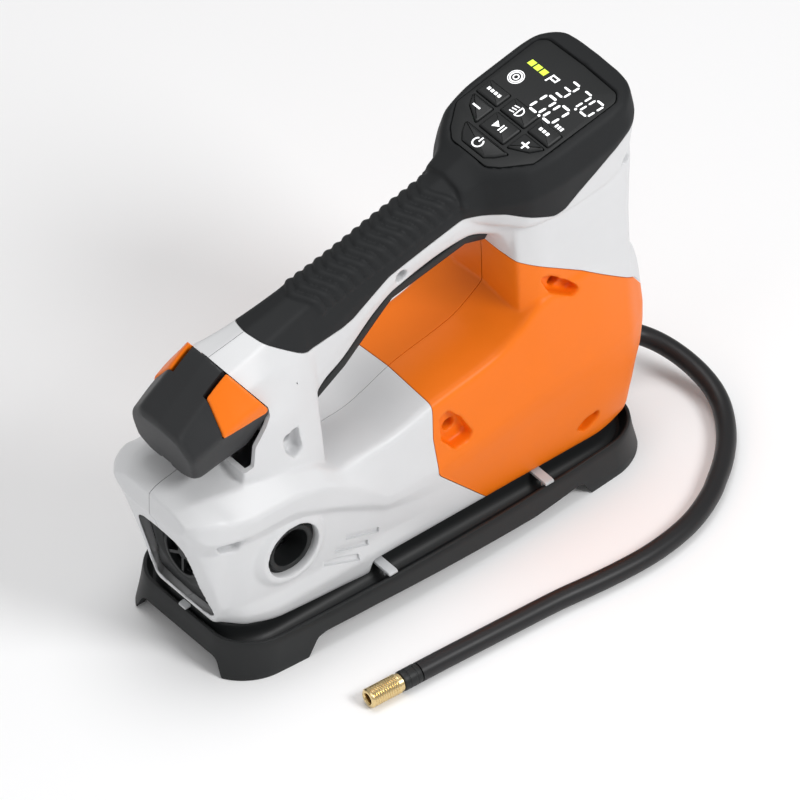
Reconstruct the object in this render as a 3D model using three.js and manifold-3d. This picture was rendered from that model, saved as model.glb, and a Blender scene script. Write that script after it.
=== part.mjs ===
// A cordless tyre inflator that stands on a tray.
// Millimetres, +Z up, +X towards the display, -X towards the battery, -Y is the left side.
// The origin is on the floor under the middle of the object.

import * as THREE from 'three';
import { mergeVertices } from 'three/addons/utils/BufferGeometryUtils.js';
import Module from 'manifold-3d';

const wasm = await Module();
wasm.setup();

// ---------------------------------------------------------------- driving dimensions

const GAP = 0.3; // air between neighbouring pieces
const WALL = 2.8; // thickness of the casing
const FAR = 400; // longer than the object, for cutters

const TRAY = {
  x: 2.25,
  halfLength: 145.75,
  halfWidth: 55.2,
  corner: 27,
  bow: 0.055, // how much the long sides draw in towards the ends
  widest: -15,
  flareX: 6.3, // how much further out the feet stand than the rim
  flareY: 1.2,
  rim: 24.3,
  rimWall: 2.4,
  channelFloor: 16.5,
  floorThickness: 3,
  deck: 27.4,
  deckWall: 4,
};

const DECK = { front: -139.7, rear: 140, halfWidth: 38.4, corner: 28 };
const CASING_FLOOR = 28; // height of the casing's underside, just above the tray's deck

const SIDE_PORT = { x: -98.1, z: 69.7, hole: 17.2, lip: 14.9, bore: 11.7, face: 39.3, depth: 15 };
const VENT = { count: 3, x: -49, z: 51.6, stepX: -7.5, stepZ: -5.3, length: 23, height: 4, fall: 7 };
const MOUTH_DEPTH = { front: -170, rear: -127 };
const GRILLE = { x: -143, z: 65, radius: 15.6, ring: 2.2, hub: 4, spokes: 6, spokeWidth: 1.9, thickness: 3 };

const DRIVE = { y: 0, z: 65 }; // the motor's axis runs along X
const MOTOR = { from: -126, to: -71.5, radius: 17, boss: 6 };
const SHAFT_RADIUS = 1.6;
const FAN = { from: -137.5, to: -131, radius: 14.5, hub: 5, blades: 7, bladeWidth: 1.6 };
const GEAR_MODULE = 0.8;
const PINION = { teeth: 10, from: -65, to: -57 };
const GEAR = { teeth: 42, from: -64.4, to: -57.6, y: 15, bore: 2.5 };
const CRANK = { throw: 6, pin: 2.4, discTo: -54, pinTo: -47.4 };
const CYLINDER = { x: -43, bore: 11, wall: 2.5, from: 67, to: 85.5, head: 6 };
const PISTON = { from: 78, to: 83, rodWidth: 7, rodFrom: -46.6, rodTo: -39.4, eye: 6.2 };
const PLATE = { from: -69.6, to: -66.6, halfWidth: 30, bottom: 33, top: 88 };

const BATTERY = { x: -155.2, z: 150.2, tilt: THREE.MathUtils.degToRad(12) };
const PACK = { from: 34, to: 76, bottom: -18.2, wall: 1.6 };
const CELL = { radius: 8.9, from: 8, length: 64, pitch: 19, low: -5.8, high: 10 };
const LATCH = { play: 0.4, travel: 2.3, inner: 12.5 };

const PANEL = { x: 100, z: 249.7, slope: Math.atan(0.21), thickness: 2.4, rim: 2.5, well: 12 };
const KEY = { height: 2.6, play: 0.45, stem: 3.4, bevel: 1.1 };

const SCREW = { head: 3.5, headHeight: 2.6, shank: 1.6, reach: 11, boss: 5.4, play: 0.3 };

const HOSE = { radius: 5.75, sides: 8, steps: 34 };
const GLAND = { y: 15, z: 32.5, from: 149.5, to: 168, rear: 8.4, front: 6.6 };
const FERRULE = { length: 12, radius: 6.5 };
const FITTING = { length: 22, radius: 5.8, bore: 3, ridges: 8, ridge: 0.7 };

// ---------------------------------------------------------------- materials

const plastic = (color, roughness) => new THREE.MeshStandardMaterial({ color, roughness, metalness: 0 });
const metal = (color, roughness) => new THREE.MeshStandardMaterial({ color, roughness, metalness: 1 });

const WHITE = plastic(0xe6e7e8, 0.45);
const ORANGE = plastic(0xf57a12, 0.45);
const BLACK = plastic(0x262828, 0.6);
const RUBBER = plastic(0x2c2e2f, 0.75);
const CHARCOAL = plastic(0x3c3e40, 0.5);
const PALE = plastic(0xc4c7ca, 0.5);
const BRASS = metal(0xb79a5b, 0.35);
const STEEL = metal(0x9a9da1, 0.4);
const ALUMINIUM = metal(0xb9bcc0, 0.45);
const BOARD = plastic(0x1f6b3a, 0.6);
const CELL_WRAP = plastic(0x2f5f9a, 0.5);
const LENS = plastic(0xdfe8ee, 0.15);

// ---------------------------------------------------------------- solids and cuts

function solid(geometry) {
  const bare = geometry.clone();
  bare.deleteAttribute('normal');
  bare.deleteAttribute('uv');
  const merged = mergeVertices(bare, 1e-4);
  return new wasm.Manifold(
    new wasm.Mesh({
      numProp: 3,
      vertProperties: new Float32Array(merged.attributes.position.array),
      triVerts: new Uint32Array(merged.index.array),
    }),
  );
}

function geometryOf(manifold) {
  const mesh = manifold.getMesh();
  const geometry = new THREE.BufferGeometry();
  geometry.setAttribute('position', new THREE.BufferAttribute(mesh.vertProperties, 3));
  geometry.setIndex(new THREE.BufferAttribute(mesh.triVerts, 1));
  return geometry;
}

const join = (...pieces) => pieces.reduce((whole, piece) => whole.add(piece));

// A flat outline pulled along one axis. The outline's two numbers are the two other axes in the
// order X, Y, Z.
function prism(axis, points, from, to) {
  const shape = new THREE.Shape(points.map(([a, b]) => new THREE.Vector2(a, b)));
  const geometry = new THREE.ExtrudeGeometry(shape, { depth: to - from, bevelEnabled: false });
  geometry.translate(0, 0, from);
  const basis = new THREE.Matrix4();
  if (axis === 'x') basis.set(0, 0, 1, 0, 1, 0, 0, 0, 0, 1, 0, 0, 0, 0, 0, 1);
  if (axis === 'y') basis.set(1, 0, 0, 0, 0, 0, 1, 0, 0, 1, 0, 0, 0, 0, 0, 1);
  const placed = geometry.applyMatrix4(basis);
  return axis === 'y' ? solid(turnedInsideOut(placed)) : solid(placed);
}

function turnedInsideOut(geometry) {
  const flat = geometry.index ? geometry.toNonIndexed() : geometry;
  const p = flat.attributes.position;
  for (let i = 0; i < p.count; i += 3) {
    const keep = new THREE.Vector3().fromBufferAttribute(p, i + 1);
    p.setXYZ(i + 1, p.getX(i + 2), p.getY(i + 2), p.getZ(i + 2));
    p.setXYZ(i + 2, keep.x, keep.y, keep.z);
  }
  return flat;
}

function box(x0, x1, y0, y1, z0, z1) {
  const geometry = new THREE.BoxGeometry(x1 - x0, y1 - y0, z1 - z0);
  return solid(geometry.translate((x0 + x1) / 2, (y0 + y1) / 2, (z0 + z1) / 2));
}

// A round bar along one axis; a and b are its centre on the two other axes in the order X, Y, Z.
function bar(axis, a, b, from, to, radius, sides = 20, endRadius = radius) {
  const geometry = new THREE.CylinderGeometry(endRadius, radius, to - from, sides);
  geometry.translate(0, (from + to) / 2, 0);
  if (axis === 'x') geometry.rotateZ(-Math.PI / 2).translate(0, a, b);
  if (axis === 'y') geometry.translate(a, 0, b);
  if (axis === 'z') geometry.rotateX(Math.PI / 2).translate(a, b, 0);
  return solid(geometry);
}

const ringBar = (axis, a, b, from, to, outer, inner, sides = 20) =>
  bar(axis, a, b, from, to, outer, sides).subtract(bar(axis, a, b, from - 1, to + 1, inner, sides));

function circlePoints(cx, cy, radius, sides) {
  return Array.from({ length: sides }, (_, i) => {
    const angle = (2 * Math.PI * i) / sides;
    return [cx + radius * Math.cos(angle), cy + radius * Math.sin(angle)];
  });
}

function roundedRectangle(x0, x1, y0, y1, radius, steps = 6) {
  const corners = [
    [x1 - radius, y1 - radius, 0],
    [x0 + radius, y1 - radius, 1],
    [x0 + radius, y0 + radius, 2],
    [x1 - radius, y0 + radius, 3],
  ];
  return corners.flatMap(([cx, cy, quarter]) =>
    Array.from({ length: steps + 1 }, (_, i) => {
      const angle = (Math.PI / 2) * (quarter + i / steps);
      return [cx + radius * Math.cos(angle), cy + radius * Math.sin(angle)];
    }),
  );
}

const centreOf = (points) => [
  points.reduce((sum, p) => sum + p[0], 0) / points.length,
  points.reduce((sum, p) => sum + p[1], 0) / points.length,
];

// An outline moved outwards by an amount, square to each of its sides.
function grown(points, amount) {
  const at = (i) => points[(i + points.length) % points.length];
  const area = points.reduce((sum, [x, y], i) => sum + x * at(i + 1)[1] - at(i + 1)[0] * y, 0);
  const sense = Math.sign(area);
  const outward = (p, q) => {
    const length = Math.hypot(q[0] - p[0], q[1] - p[1]);
    return [(sense * (q[1] - p[1])) / length, (sense * (p[0] - q[0])) / length];
  };
  return points.map(([x, y], i) => {
    const before = outward(at(i - 1), at(i));
    const after = outward(at(i), at(i + 1));
    const share = amount / (1 + before[0] * after[0] + before[1] * after[1]);
    return [x + (before[0] + after[0]) * share, y + (before[1] + after[1]) * share];
  });
}

// ---------------------------------------------------------------- lofts

// Rows are closed loops of the same number of Vector3. Neighbouring loops are joined by faces and
// the first and last loops are closed by fans.
function loftGeometry(rows) {
  const count = rows[0].length;
  const vertices = rows.flat().map((p) => [p.x, p.y, p.z]);
  const faces = [];
  for (let r = 0; r + 1 < rows.length; r += 1) {
    for (let c = 0; c < count; c += 1) {
      const next = (c + 1) % count;
      const a = r * count + c;
      const b = r * count + next;
      faces.push(a, a + count, b, b, a + count, b + count);
    }
  }
  for (const [row, turn] of [[0, 1], [rows.length - 1, -1]]) {
    const middle = rows[row].reduce((sum, p) => sum.add(p), new THREE.Vector3()).divideScalar(count);
    vertices.push([middle.x, middle.y, middle.z]);
    const tip = vertices.length - 1;
    for (let c = 0; c < count; c += 1) {
      const a = row * count + c;
      const b = row * count + ((c + 1) % count);
      faces.push(...(turn > 0 ? [tip, a, b] : [tip, b, a]));
    }
  }
  const geometry = new THREE.BufferGeometry();
  geometry.setAttribute('position', new THREE.BufferAttribute(new Float32Array(vertices.flat()), 3));
  geometry.setIndex(faces);
  return geometry;
}

function loft(rows) {
  const made = solid(loftGeometry(rows));
  return made.volume() > 0 ? made : solid(turnedInsideOut(loftGeometry(rows)));
}

const between = (a, b, share) => a.clone().lerp(b, share);

// Corner cutting: each pass replaces every corner by two points a quarter of the way along its sides.
function softenedLoop(loop) {
  return loop.flatMap((p, i) => {
    const next = loop[(i + 1) % loop.length];
    return [between(p, next, 0.25), between(p, next, 0.75)];
  });
}

// A half section from its lowest to its highest point on the plane y = 0, mirrored into a loop.
function mirroredLoop(x, half) {
  const right = half.map(([y, z]) => new THREE.Vector3(x, y, z));
  const left = half.slice(1, -1).reverse().map(([y, z]) => new THREE.Vector3(x, -y, z));
  return [...right, ...left];
}

const gridOf = (stations) => stations.map(([x, ...half]) => softenedLoop(mirroredLoop(x, half)));

// The same surface moved inwards by a distance along its normals.
function inwards(rows, distance) {
  const count = rows[0].length;
  const centre = rows.map((row) => row.reduce((s, p) => s.add(p), new THREE.Vector3()).divideScalar(count));
  return rows.map((row, r) =>
    row.map((p, c) => {
      const along = rows[Math.min(r + 1, rows.length - 1)][c].clone().sub(rows[Math.max(r - 1, 0)][c]);
      const around = row[(c + 1) % count].clone().sub(row[(c + count - 1) % count]);
      const normal = along.cross(around).normalize();
      const inward = normal.dot(centre[r].clone().sub(p)) > 0 ? 1 : -1;
      const moved = p.clone().addScaledVector(normal, inward * distance);
      if (r === 0) moved.x = p.x + distance;
      if (r === rows.length - 1) moved.x = p.x - distance;
      return moved;
    }),
  );
}

const thinned = (rows) => rows.map((row) => row.filter((_, i) => i % 2 === 0));

// ---------------------------------------------------------------- the casing's outer form
// Each station is [x, [y, z] ...], the half section from the lowest point to the highest.

const HULL = [
  [-165, [0, 107], [18, 107.5], [23, 108.5], [26, 110], [28, 112], [30, 114], [30, 118], [20, 122], [0, 122.5]],
  [-161, [0, 100], [22, 100], [26, 101], [29, 102.5], [32, 105], [35.5, 110], [35.5, 119], [23, 124], [0, 125]],
  [-156, [0, 82], [22, 82], [26, 84], [29, 88], [32, 94], [38.5, 106], [39, 119.5], [25, 126], [0, 126.5]],
  [-148, [0, 55], [24, 55], [27, 60], [30.5, 68], [34, 90], [41.5, 104], [42.5, 119], [27, 127], [0, 128]],
  [-139.5, [0, 28], [24, 28], [28, 35], [31, 43], [34.5, 90], [43, 103], [44, 116], [29, 127], [0, 130.5]],
  [-126, [0, 24.7], [35, 24.7], [37.5, 35], [36, 43], [37.5, 90], [45, 102], [46, 114], [32, 127], [0, 134]],
  [-106, [0, 22.6], [41, 22.6], [42, 35], [38.5, 43], [39, 89], [45, 102], [46, 114], [35, 125], [0, 134]],
  [-80, [0, 19.9], [41.5, 19.9], [42, 35], [38.5, 43], [39, 84], [44.5, 92], [45.5, 109], [37, 117], [0, 122]],
  [-62, [0, 18.2], [41.5, 18.2], [42, 35], [38.5, 43], [39.5, 76], [44, 83], [44.5, 98], [38, 107], [0, 103]],
  [-45.5, [0, 16.4], [41.5, 16.4], [42, 35], [39, 43], [40, 67], [43.7, 74], [44.2, 84], [38, 107.6], [0, 104.4]],
  [-42, [0, 28], [41.5, 28], [42, 35], [39.2, 43], [40.2, 65.3], [43.7, 72], [44.2, 81], [38, 107.7], [0, 104.7]],
  [-32, [0, 28], [41.5, 28], [42, 35], [39.5, 43], [40.5, 60], [43.5, 67], [44, 73], [38, 108], [0, 105.5]],
  [5, [0, 28], [41.5, 28], [42, 35], [42.4, 45], [43, 56], [43.8, 65], [44, 73], [38, 116], [0, 119]],
  [45, [0, 28], [41.5, 28], [42, 35], [42.6, 48], [43.4, 60], [44.4, 72], [44.6, 80], [38, 124], [0, 128]],
  [62, [0, 28], [41.5, 28], [42, 35], [42.6, 48], [43.4, 62], [44.4, 75], [44.6, 83], [38, 133], [0, 138]],
  [80, [0, 28], [41.5, 28], [42, 35], [42.6, 48], [43.4, 64], [44.4, 77], [44.6, 85], [38.5, 147], [0, 152]],
  [112, [0, 28], [41.5, 28], [42, 35], [42.4, 48], [43, 66], [43.6, 79], [43.6, 88], [38, 151], [0, 156]],
  [139, [0, 28], [35, 28], [37, 34], [39, 48], [40.5, 66], [41, 80], [41, 90], [34, 146], [0, 152]],
  [150, [0, 37], [25, 37], [28, 43], [32, 54], [35, 68], [36, 82], [35.5, 92], [29, 141], [0, 148]],
  [158.5, [0, 55], [14, 55], [19, 59], [23, 65], [27, 74], [28.5, 84], [28.5, 95], [24, 119], [0, 123]],
  [163.5, [0, 68], [5, 68], [8, 70], [10, 74], [12, 80], [12.5, 86], [12, 92], [7, 101], [0, 103]],
];

const LOOP = [
  [-125, [0, 122], [30, 122], [32, 132], [31.5, 160], [25, 182], [15, 195], [0, 197]],
  [-104, [0, 110], [36, 110], [34, 128], [31.5, 160], [23, 185], [12.5, 198], [0, 201]],
  [-84, [0, 100], [36, 106], [32.5, 128], [27.5, 158], [20.5, 183], [12, 202], [0, 205.5]],
  [-70, [0, 92], [32, 98], [29, 122], [23.5, 150], [19, 182], [11.5, 205.5], [0, 209]],
  [-66, [0, 92], [30, 96], [27, 120], [22, 148], [18, 180], [11.5, 206.5], [0, 210]],
  [-63, [0, 142], [14, 142], [18, 148], [18.5, 160], [17.2, 182], [11.5, 207.5], [0, 211]],
  [-42, [0, 156], [12, 156], [16, 162], [16.8, 174], [16.2, 191], [11, 212], [0, 216]],
  [-18, [0, 176.5], [11, 176.5], [15, 182], [16.4, 190], [16, 201], [10.8, 217.5], [0, 221.5]],
  [-6, [0, 184.5], [11, 184.5], [15, 189], [16.4, 197], [16, 207], [10.8, 220.5], [0, 224.5]],
  [44, [0, 194.5], [11.5, 194.5], [16, 199], [17.4, 208], [17, 219], [12, 231.5], [0, 235]],
  [60, [0, 190], [14, 190], [21, 195], [23.5, 206], [22, 220], [17, 236], [0, 240]],
  [66.5, [0, 174], [18, 174], [24.5, 182], [27, 200], [26, 218], [20, 238], [0, 242]],
  [69, [0, 96], [28, 100], [30, 130], [30, 170], [28.5, 205], [22, 238], [0, 242]],
  [84, [0, 96], [37, 100], [37.5, 130], [35, 170], [33.5, 205], [28, 238], [0, 243]],
  [120, [0, 96], [38, 100], [38, 130], [35, 172], [35, 208], [30, 242], [0, 246]],
  [143, [0, 96], [35, 100], [35, 130], [32.5, 172], [33, 210], [30, 244], [0, 248]],
  [151, [0, 110], [24, 112], [25, 132], [23, 172], [25, 208], [22, 240], [0, 243]],
];

const HEAD = [
  [40, [0, 208], [15.5, 209], [18, 220], [14, 233], [0, 236]],
  [50, [0, 202], [20, 206], [22.5, 220], [17, 236], [0, 239.5]],
  [60, [0, 196], [29, 205], [32, 223], [26, 240.5], [0, 243]],
  [72, [0, 190], [37, 203], [40, 227], [34.5, 244], [0, 245.5]],
  [93, [0, 188], [39.5, 203], [43.2, 231], [38, 249], [0, 250]],
  [122, [0, 188], [39, 206], [43.6, 238], [38, 255.3], [0, 256]],
  [134, [0, 190], [37, 209], [42, 242], [37, 258], [0, 258.5]],
  [142, [0, 195], [33, 211], [38, 244], [33, 259.3], [0, 260]],
  [147.5, [0, 202], [26, 214], [32, 246], [27, 259.8], [0, 260.5]],
  [150, [0, 210], [16, 220], [22, 247], [19, 258], [0, 259]],
];

// The column's rear face draws in between the body and the head. Seen from the side.
const WAIST = [
  [170, 212], [153, 210], [149, 196], [147.5, 180], [149, 160], [153, 135], [158, 120], [170, 118],
];

const outerGrids = [HULL, LOOP, HEAD].map(gridOf);
const outer = join(...outerGrids.map((grid) => loft(grid))).subtract(prism('y', WAIST, -FAR, FAR));
const hollow = join(...outerGrids.map((grid) => loft(thinned(inwards(grid, WALL)))))
  .subtract(prism('y', grown(WAIST, WALL), -FAR, FAR))
  .subtract(box(-FAR, FAR, -FAR, FAR, -FAR, CASING_FLOOR + WALL));

const inBattery = new THREE.Matrix4()
  .makeTranslation(BATTERY.x, 0, BATTERY.z)
  .multiply(new THREE.Matrix4().makeRotationY(-BATTERY.tilt));

const placedInBattery = (manifold) => solid(geometryOf(manifold).applyMatrix4(inBattery));

// ---------------------------------------------------------------- parting regions, seen from the side

const COLLAR = [
  [-200, 215], [-123.6, 215], [-123.4, 197.2], [-105, 170], [-105, 165], [-117, 150], [-118.5, 137.2],
  [-152, 129.5], [-200, 121],
];

const BLACK_TOP = [
  [-101, 230], [-100.4, 203], [-70, 181.5], [-44, 183.5], [-36, 186], [-11, 201.5], [38, 214], [51, 214.5],
  [59, 216], [69, 213], [86, 206], [92.5, 208], [101.5, 216], [112, 224], [122, 232], [134, 239],
  [150, 242], [175, 242], [175, 300], [-101, 300],
];

const ORANGE_REAR = [
  [2.5, 150], [1.5, 118], [-0.6, 94], [1.2, 68], [38, 28], [38, 10], [180, 10], [180, 98], [162, 101],
  [148, 121], [114, 147.5], [81, 168.5], [66, 176.5], [45, 177],
];

// It stands a little proud of the handle's underside.
const FINGER_LINER = [
  [-61, 138], [-40, 151.8], [-16, 173.8], [-7, 181.8], [44, 191.8], [58, 187.3], [61, 191.2], [44, 197], [-8, 187],
  [-19, 178.5], [-42, 157.5], [-63, 142.8],
];
const LINER_HALF_WIDTH = 14;

const blackPrism = prism('y', BLACK_TOP, -FAR, FAR);
const orangePrism = prism('y', ORANGE_REAR, -FAR, FAR);

const near = box(-FAR, FAR, -FAR, -GAP / 2, -FAR, FAR);
const far = box(-FAR, FAR, GAP / 2, FAR, -FAR, FAR);

// ---------------------------------------------------------------- the mouth, side ports and vents

const MOUTH_HALF = [
  [0, 92.5], [14, 91.5], [19.5, 88], [21, 80], [22, 57], [26, 39], [24.5, 35], [14, 33], [0, 31.5],
];
const mirroredOutline = (half) => [...half, ...half.slice(1, -1).reverse().map(([y, z]) => [-y, z])];
const mouthOutline = mirroredOutline(MOUTH_HALF);
const mouthCut = prism('x', mouthOutline, MOUTH_DEPTH.front, MOUTH_DEPTH.rear);

const sidePortCut = bar('y', SIDE_PORT.x, SIDE_PORT.z, -FAR, FAR, SIDE_PORT.hole, 24);

function ventCut(index) {
  const x = VENT.x + index * VENT.stepX;
  const z = VENT.z + index * VENT.stepZ;
  const half = VENT.length / 2;
  const outline = [
    [x - half, z + VENT.fall / 2 - VENT.height / 2],
    [x + half, z - VENT.fall / 2 - VENT.height / 2],
    [x + half, z - VENT.fall / 2 + VENT.height / 2],
    [x - half, z + VENT.fall / 2 + VENT.height / 2],
  ];
  return prism('y', outline, -FAR, FAR);
}
const ventCuts = join(...Array.from({ length: VENT.count }, (_, i) => ventCut(i)));

// ---------------------------------------------------------------- screw pockets
// Each pocket is an outline in XZ; `face` is the casing's half width there.

const POCKETS = [
  {
    name: 'nose', face: 37, screw: [-139.5, 95.5],
    outline: [[-150, 102], [-132, 98], [-131, 89], [-134, 86.5], [-143, 89.5], [-147.5, 96]],
  },
  { name: 'collar', face: 31, outline: [[-98, 145], [-86, 146], [-84.5, 131], [-90, 127], [-96, 134]] },
  { name: 'grip', face: 17, outline: circlePoints(-2, 196.5, 4, 10) },
  { name: 'display', face: 34, outline: [[134, 214], [149, 231], [150, 212], [141, 208.5]] },
  {
    name: 'column', face: 37,
    outline: [[79, 161.5], [87, 158.5], [101, 147], [104.5, 141.5], [100, 139], [85, 148.5]],
  },
  {
    name: 'middle', face: 41.5,
    outline: [[5.5, 104], [11.5, 106.5], [19, 98.5], [26, 84.5], [23, 81], [13.5, 79.5], [5, 90]],
  },
  { name: 'rear', face: 42, outline: [[100.5, 41.5], [107, 46], [116.5, 47.5], [116, 42], [107, 37]] },
];
const POCKET_DEPTH = 6.5;
const POCKET_WALL = 2.2;
const SHAFT_DEPTH = 9; // from the pocket's floor down to the screw head's seat

function screwSeat({ face, outline, screw = centreOf(outline) }) {
  const [x, z] = screw;
  const floor = Math.max(face - POCKET_DEPTH, 9);
  const seat = Math.max(floor - SHAFT_DEPTH, 5.5);
  return { x, z, floor, seat };
}

function pocketBoss(pocket) {
  const { x, z, floor } = screwSeat(pocket);
  const cup = prism('y', grown(pocket.outline, POCKET_WALL), -FAR, -(floor - POCKET_WALL));
  const nearPost = bar('y', x, z, -(floor + 1), -GAP / 2, SCREW.boss, 8);
  const farPost = bar('y', x, z, GAP / 2, FAR, SCREW.boss - 1.4, 8);
  return { cup: join(cup, nearPost), post: farPost };
}

function pocketCut(pocket) {
  const { x, z, floor, seat } = screwSeat(pocket);
  return join(
    prism('y', pocket.outline, -FAR, -floor),
    bar('y', x, z, -(floor + 1), -seat, SCREW.head + SCREW.play, 10),
    bar('y', x, z, -(seat + 1), SCREW.reach + 1, SCREW.shank + SCREW.play, 6),
  );
}

function makeScrew(pocket) {
  const { x, z, seat } = screwSeat(pocket);
  const start = -(seat + SCREW.play);
  const head = bar('y', x, z, start - SCREW.headHeight, start, SCREW.head, 10);
  const drive = bar('y', x, z, start - SCREW.headHeight - 1, start - 1.2, SCREW.head / 2, 4);
  return join(head, bar('y', x, z, start - 0.5, SCREW.reach, SCREW.shank, 6)).subtract(drive);
}

const cups = join(...POCKETS.map((pocket) => pocketBoss(pocket).cup));
const posts = join(...POCKETS.map((pocket) => pocketBoss(pocket).post));
const pocketCuts = join(...POCKETS.map(pocketCut));

// ---------------------------------------------------------------- display, keys and their holes
// The panel's own frame has its origin on the panel's face, x along the slope and z out of it.

const inPanel = new THREE.Matrix4()
  .makeTranslation(PANEL.x, 0, PANEL.z)
  .multiply(new THREE.Matrix4().makeRotationY(-PANEL.slope));
const placedInPanel = (manifold) => solid(geometryOf(manifold).applyMatrix4(inPanel));

const PANEL_HALF = [[-43, 0], [-43, 14], [-38, 21], [-24, 32.5], [34, 33], [38.5, 28.5], [39.5, 0]];
const panelOutline = [...PANEL_HALF, ...PANEL_HALF.slice(1, -1).reverse().map(([x, y]) => [x, -y])];

// Outlines in the panel's plane, seen from above.
const KEYS = {
  mode: [[-12, 13], [-12, 30], [-1.5, 30], [-1.5, 13]],
  light: [[-12, -10], [-12, 10], [-1, 10], [-1, -10]],
  unit: [[-12, -30], [-12, -13], [-1.5, -13], [-1.5, -30]],
  minus: [[-27, 13], [-21, 25], [-14, 30], [-14, 13]],
  start: [[-27, -10], [-27, 10], [-14, 10], [-14, -10]],
  plus: [[-14, -30], [-21, -25], [-27, -13], [-14, -13]],
  power: [[-40, -9], [-40, 9], [-36, 13.5], [-29.5, 18], [-29.5, -18], [-36, -13.5]],
};

const panelRecess = placedInPanel(prism('z', grown(panelOutline, GAP), -PANEL.thickness - 0.6, 30));
const keyWell = placedInPanel(
  prism('z', grown(panelOutline, -PANEL.rim), -PANEL.well, 1).intersect(box(-FAR, 0, -FAR, FAR, -FAR, FAR)),
);

function makeKey(outline) {
  const [cx, cy] = centreOf(outline);
  const cap = prism('z', outline, -PANEL.thickness - 0.2, 1.4);
  const top = prism('z', grown(outline, -KEY.bevel), 1.3, KEY.height - 1);
  const stem = bar('z', cx, cy, -PANEL.thickness - KEY.stem, -PANEL.thickness, 2, 8);
  return placedInPanel(join(cap, top, stem));
}

function makePanel() {
  const plate = prism('z', panelOutline, -PANEL.thickness, 0);
  const holes = Object.values(KEYS).map((outline) => prism('z', grown(outline, KEY.play), -20, 20));
  return placedInPanel(holes.reduce((left, hole) => left.subtract(hole), plate));
}

// ---------------------------------------------------------------- battery bay and casing shells

const PACK_HALF = [[0, PACK.bottom], [15.5, PACK.bottom], [22.8, -9.5], [22.8, 4], [13.5, 21.5], [0, 22.5]];
const packOutline = mirroredOutline(PACK_HALF);
const bayCut = placedInBattery(prism('x', grown(packOutline, 0.7), PACK.from - 14, PACK.to + 1));

const collarCut = prism('y', COLLAR, -FAR, FAR);
const glandCut = bar('x', GLAND.y, GLAND.z, 130, 175, GLAND.rear + GAP, 20);

const deckOutline = roundedRectangle(DECK.front, DECK.rear, -DECK.halfWidth, DECK.halfWidth, DECK.corner);
const deckRoom = prism('z', grown(deckOutline, GAP), -FAR, CASING_FLOOR);

const hollowCasing = outer
  .subtract(hollow.subtract(join(cups, posts)))
  .subtract(deckRoom)
  .subtract(join(collarCut, bayCut, mouthCut, sidePortCut, ventCuts, pocketCuts))
  .subtract(join(panelRecess, keyWell, glandCut));

// What a region loses so that the next piece keeps its distance from it.
const grownRegion = (points, amount) => prism('y', grown(points, amount), -FAR, FAR);

const liner = prism('y', FINGER_LINER, -LINER_HALF_WIDTH, LINER_HALF_WIDTH);
const linerRoom = prism('y', grown(FINGER_LINER, GAP), -LINER_HALF_WIDTH - GAP, LINER_HALF_WIDTH + GAP);

const gripCover = hollowCasing.intersect(blackPrism);
const whiteCasing = hollowCasing
  .subtract(join(grownRegion(BLACK_TOP, GAP), grownRegion(ORANGE_REAR, GAP)))
  .subtract(linerRoom);
const orangeCasing = hollowCasing.intersect(orangePrism);

// ---------------------------------------------------------------- battery

const CAP = [
  [0, [0, -12], [13, -12], [23, -8], [24.5, 6], [15.5, 15.5], [0, 17]],
  [2.2, [0, -13.2], [14, -13.2], [25, -9], [27, 8.5], [17, 19], [0, 20.5]],
  [6, [0, -20.2], [14, -20.2], [25.3, -8.8], [27.6, 9.6], [17, 21.3], [0, 22.9]],
  [20, [0, -20.2], [14, -20.2], [26, -8], [29.5, 13.5], [16.5, 28.5], [0, 30.5]],
  [36, [0, -20.2], [14, -20.2], [27, -8], [30.5, 17], [16.5, 36.5], [0, 38.5]],
  [62, [0, -20.2], [14, -20.2], [27, -8], [31, 19], [16.5, 46], [0, 48]],
];

const capSolid = placedInBattery(loft(CAP.map(([u, ...half]) => softenedLoop(mirroredLoop(u, half)))));
const capInside = prism('x', grown(packOutline, -1.2), 6.5, PACK.to + 20);
const collarRoom = prism('y', COLLAR.map(([x, z]) => [x - 0.5, z + (x < -118 && z < 140 ? 0.6 : 0)]), -FAR, FAR);

// The latch is a facet of the cap's upper side, seen here from the side.
const LATCH_SIDE = [[-123.7, 197], [-106, 170.4], [-108, 168.5], [-137, 167], [-137, 190]];
const latchRoom = (side) => {
  const y = side * LATCH.inner;
  const far = side * 40;
  return prism('y', grown(LATCH_SIDE, LATCH.play), Math.min(y, far), Math.max(y, far));
};
const latchShape = (side) => {
  const y = side * (LATCH.inner + LATCH.travel + GAP);
  const far = side * 40;
  return prism('y', LATCH_SIDE, Math.min(y, far), Math.max(y, far));
};

const fullCap = capSolid.intersect(collarRoom);
const cap = fullCap
  .subtract(placedInBattery(capInside))
  .subtract(join(latchRoom(-1), latchRoom(1)));

// The latches stand a little proud of the cap and stop short of the pack.
const packRoom = placedInBattery(prism('x', grown(packOutline, 0.8), -5, PACK.to + 20));
const proudCap = solid(
  loftGeometry(
    CAP.map(([u, ...half]) => softenedLoop(mirroredLoop(u, half.map(([y, z]) => [y * 1.03, z + 0.6])))),
  ).applyMatrix4(inBattery),
);
const upright = (piece) => (piece.volume() > 0 ? piece : solid(turnedInsideOut(geometryOf(piece))));
const latchBlank = upright(proudCap).intersect(collarRoom).subtract(packRoom);
const makeLatch = (side) => latchBlank.intersect(latchShape(side));

function makePack() {
  const shell = prism('x', grown(packOutline, -1.6), 8, PACK.to);
  const inside = prism('x', grown(packOutline, -1.6 - PACK.wall), 2, PACK.to - PACK.wall);
  return placedInBattery(shell.subtract(inside));
}

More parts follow.
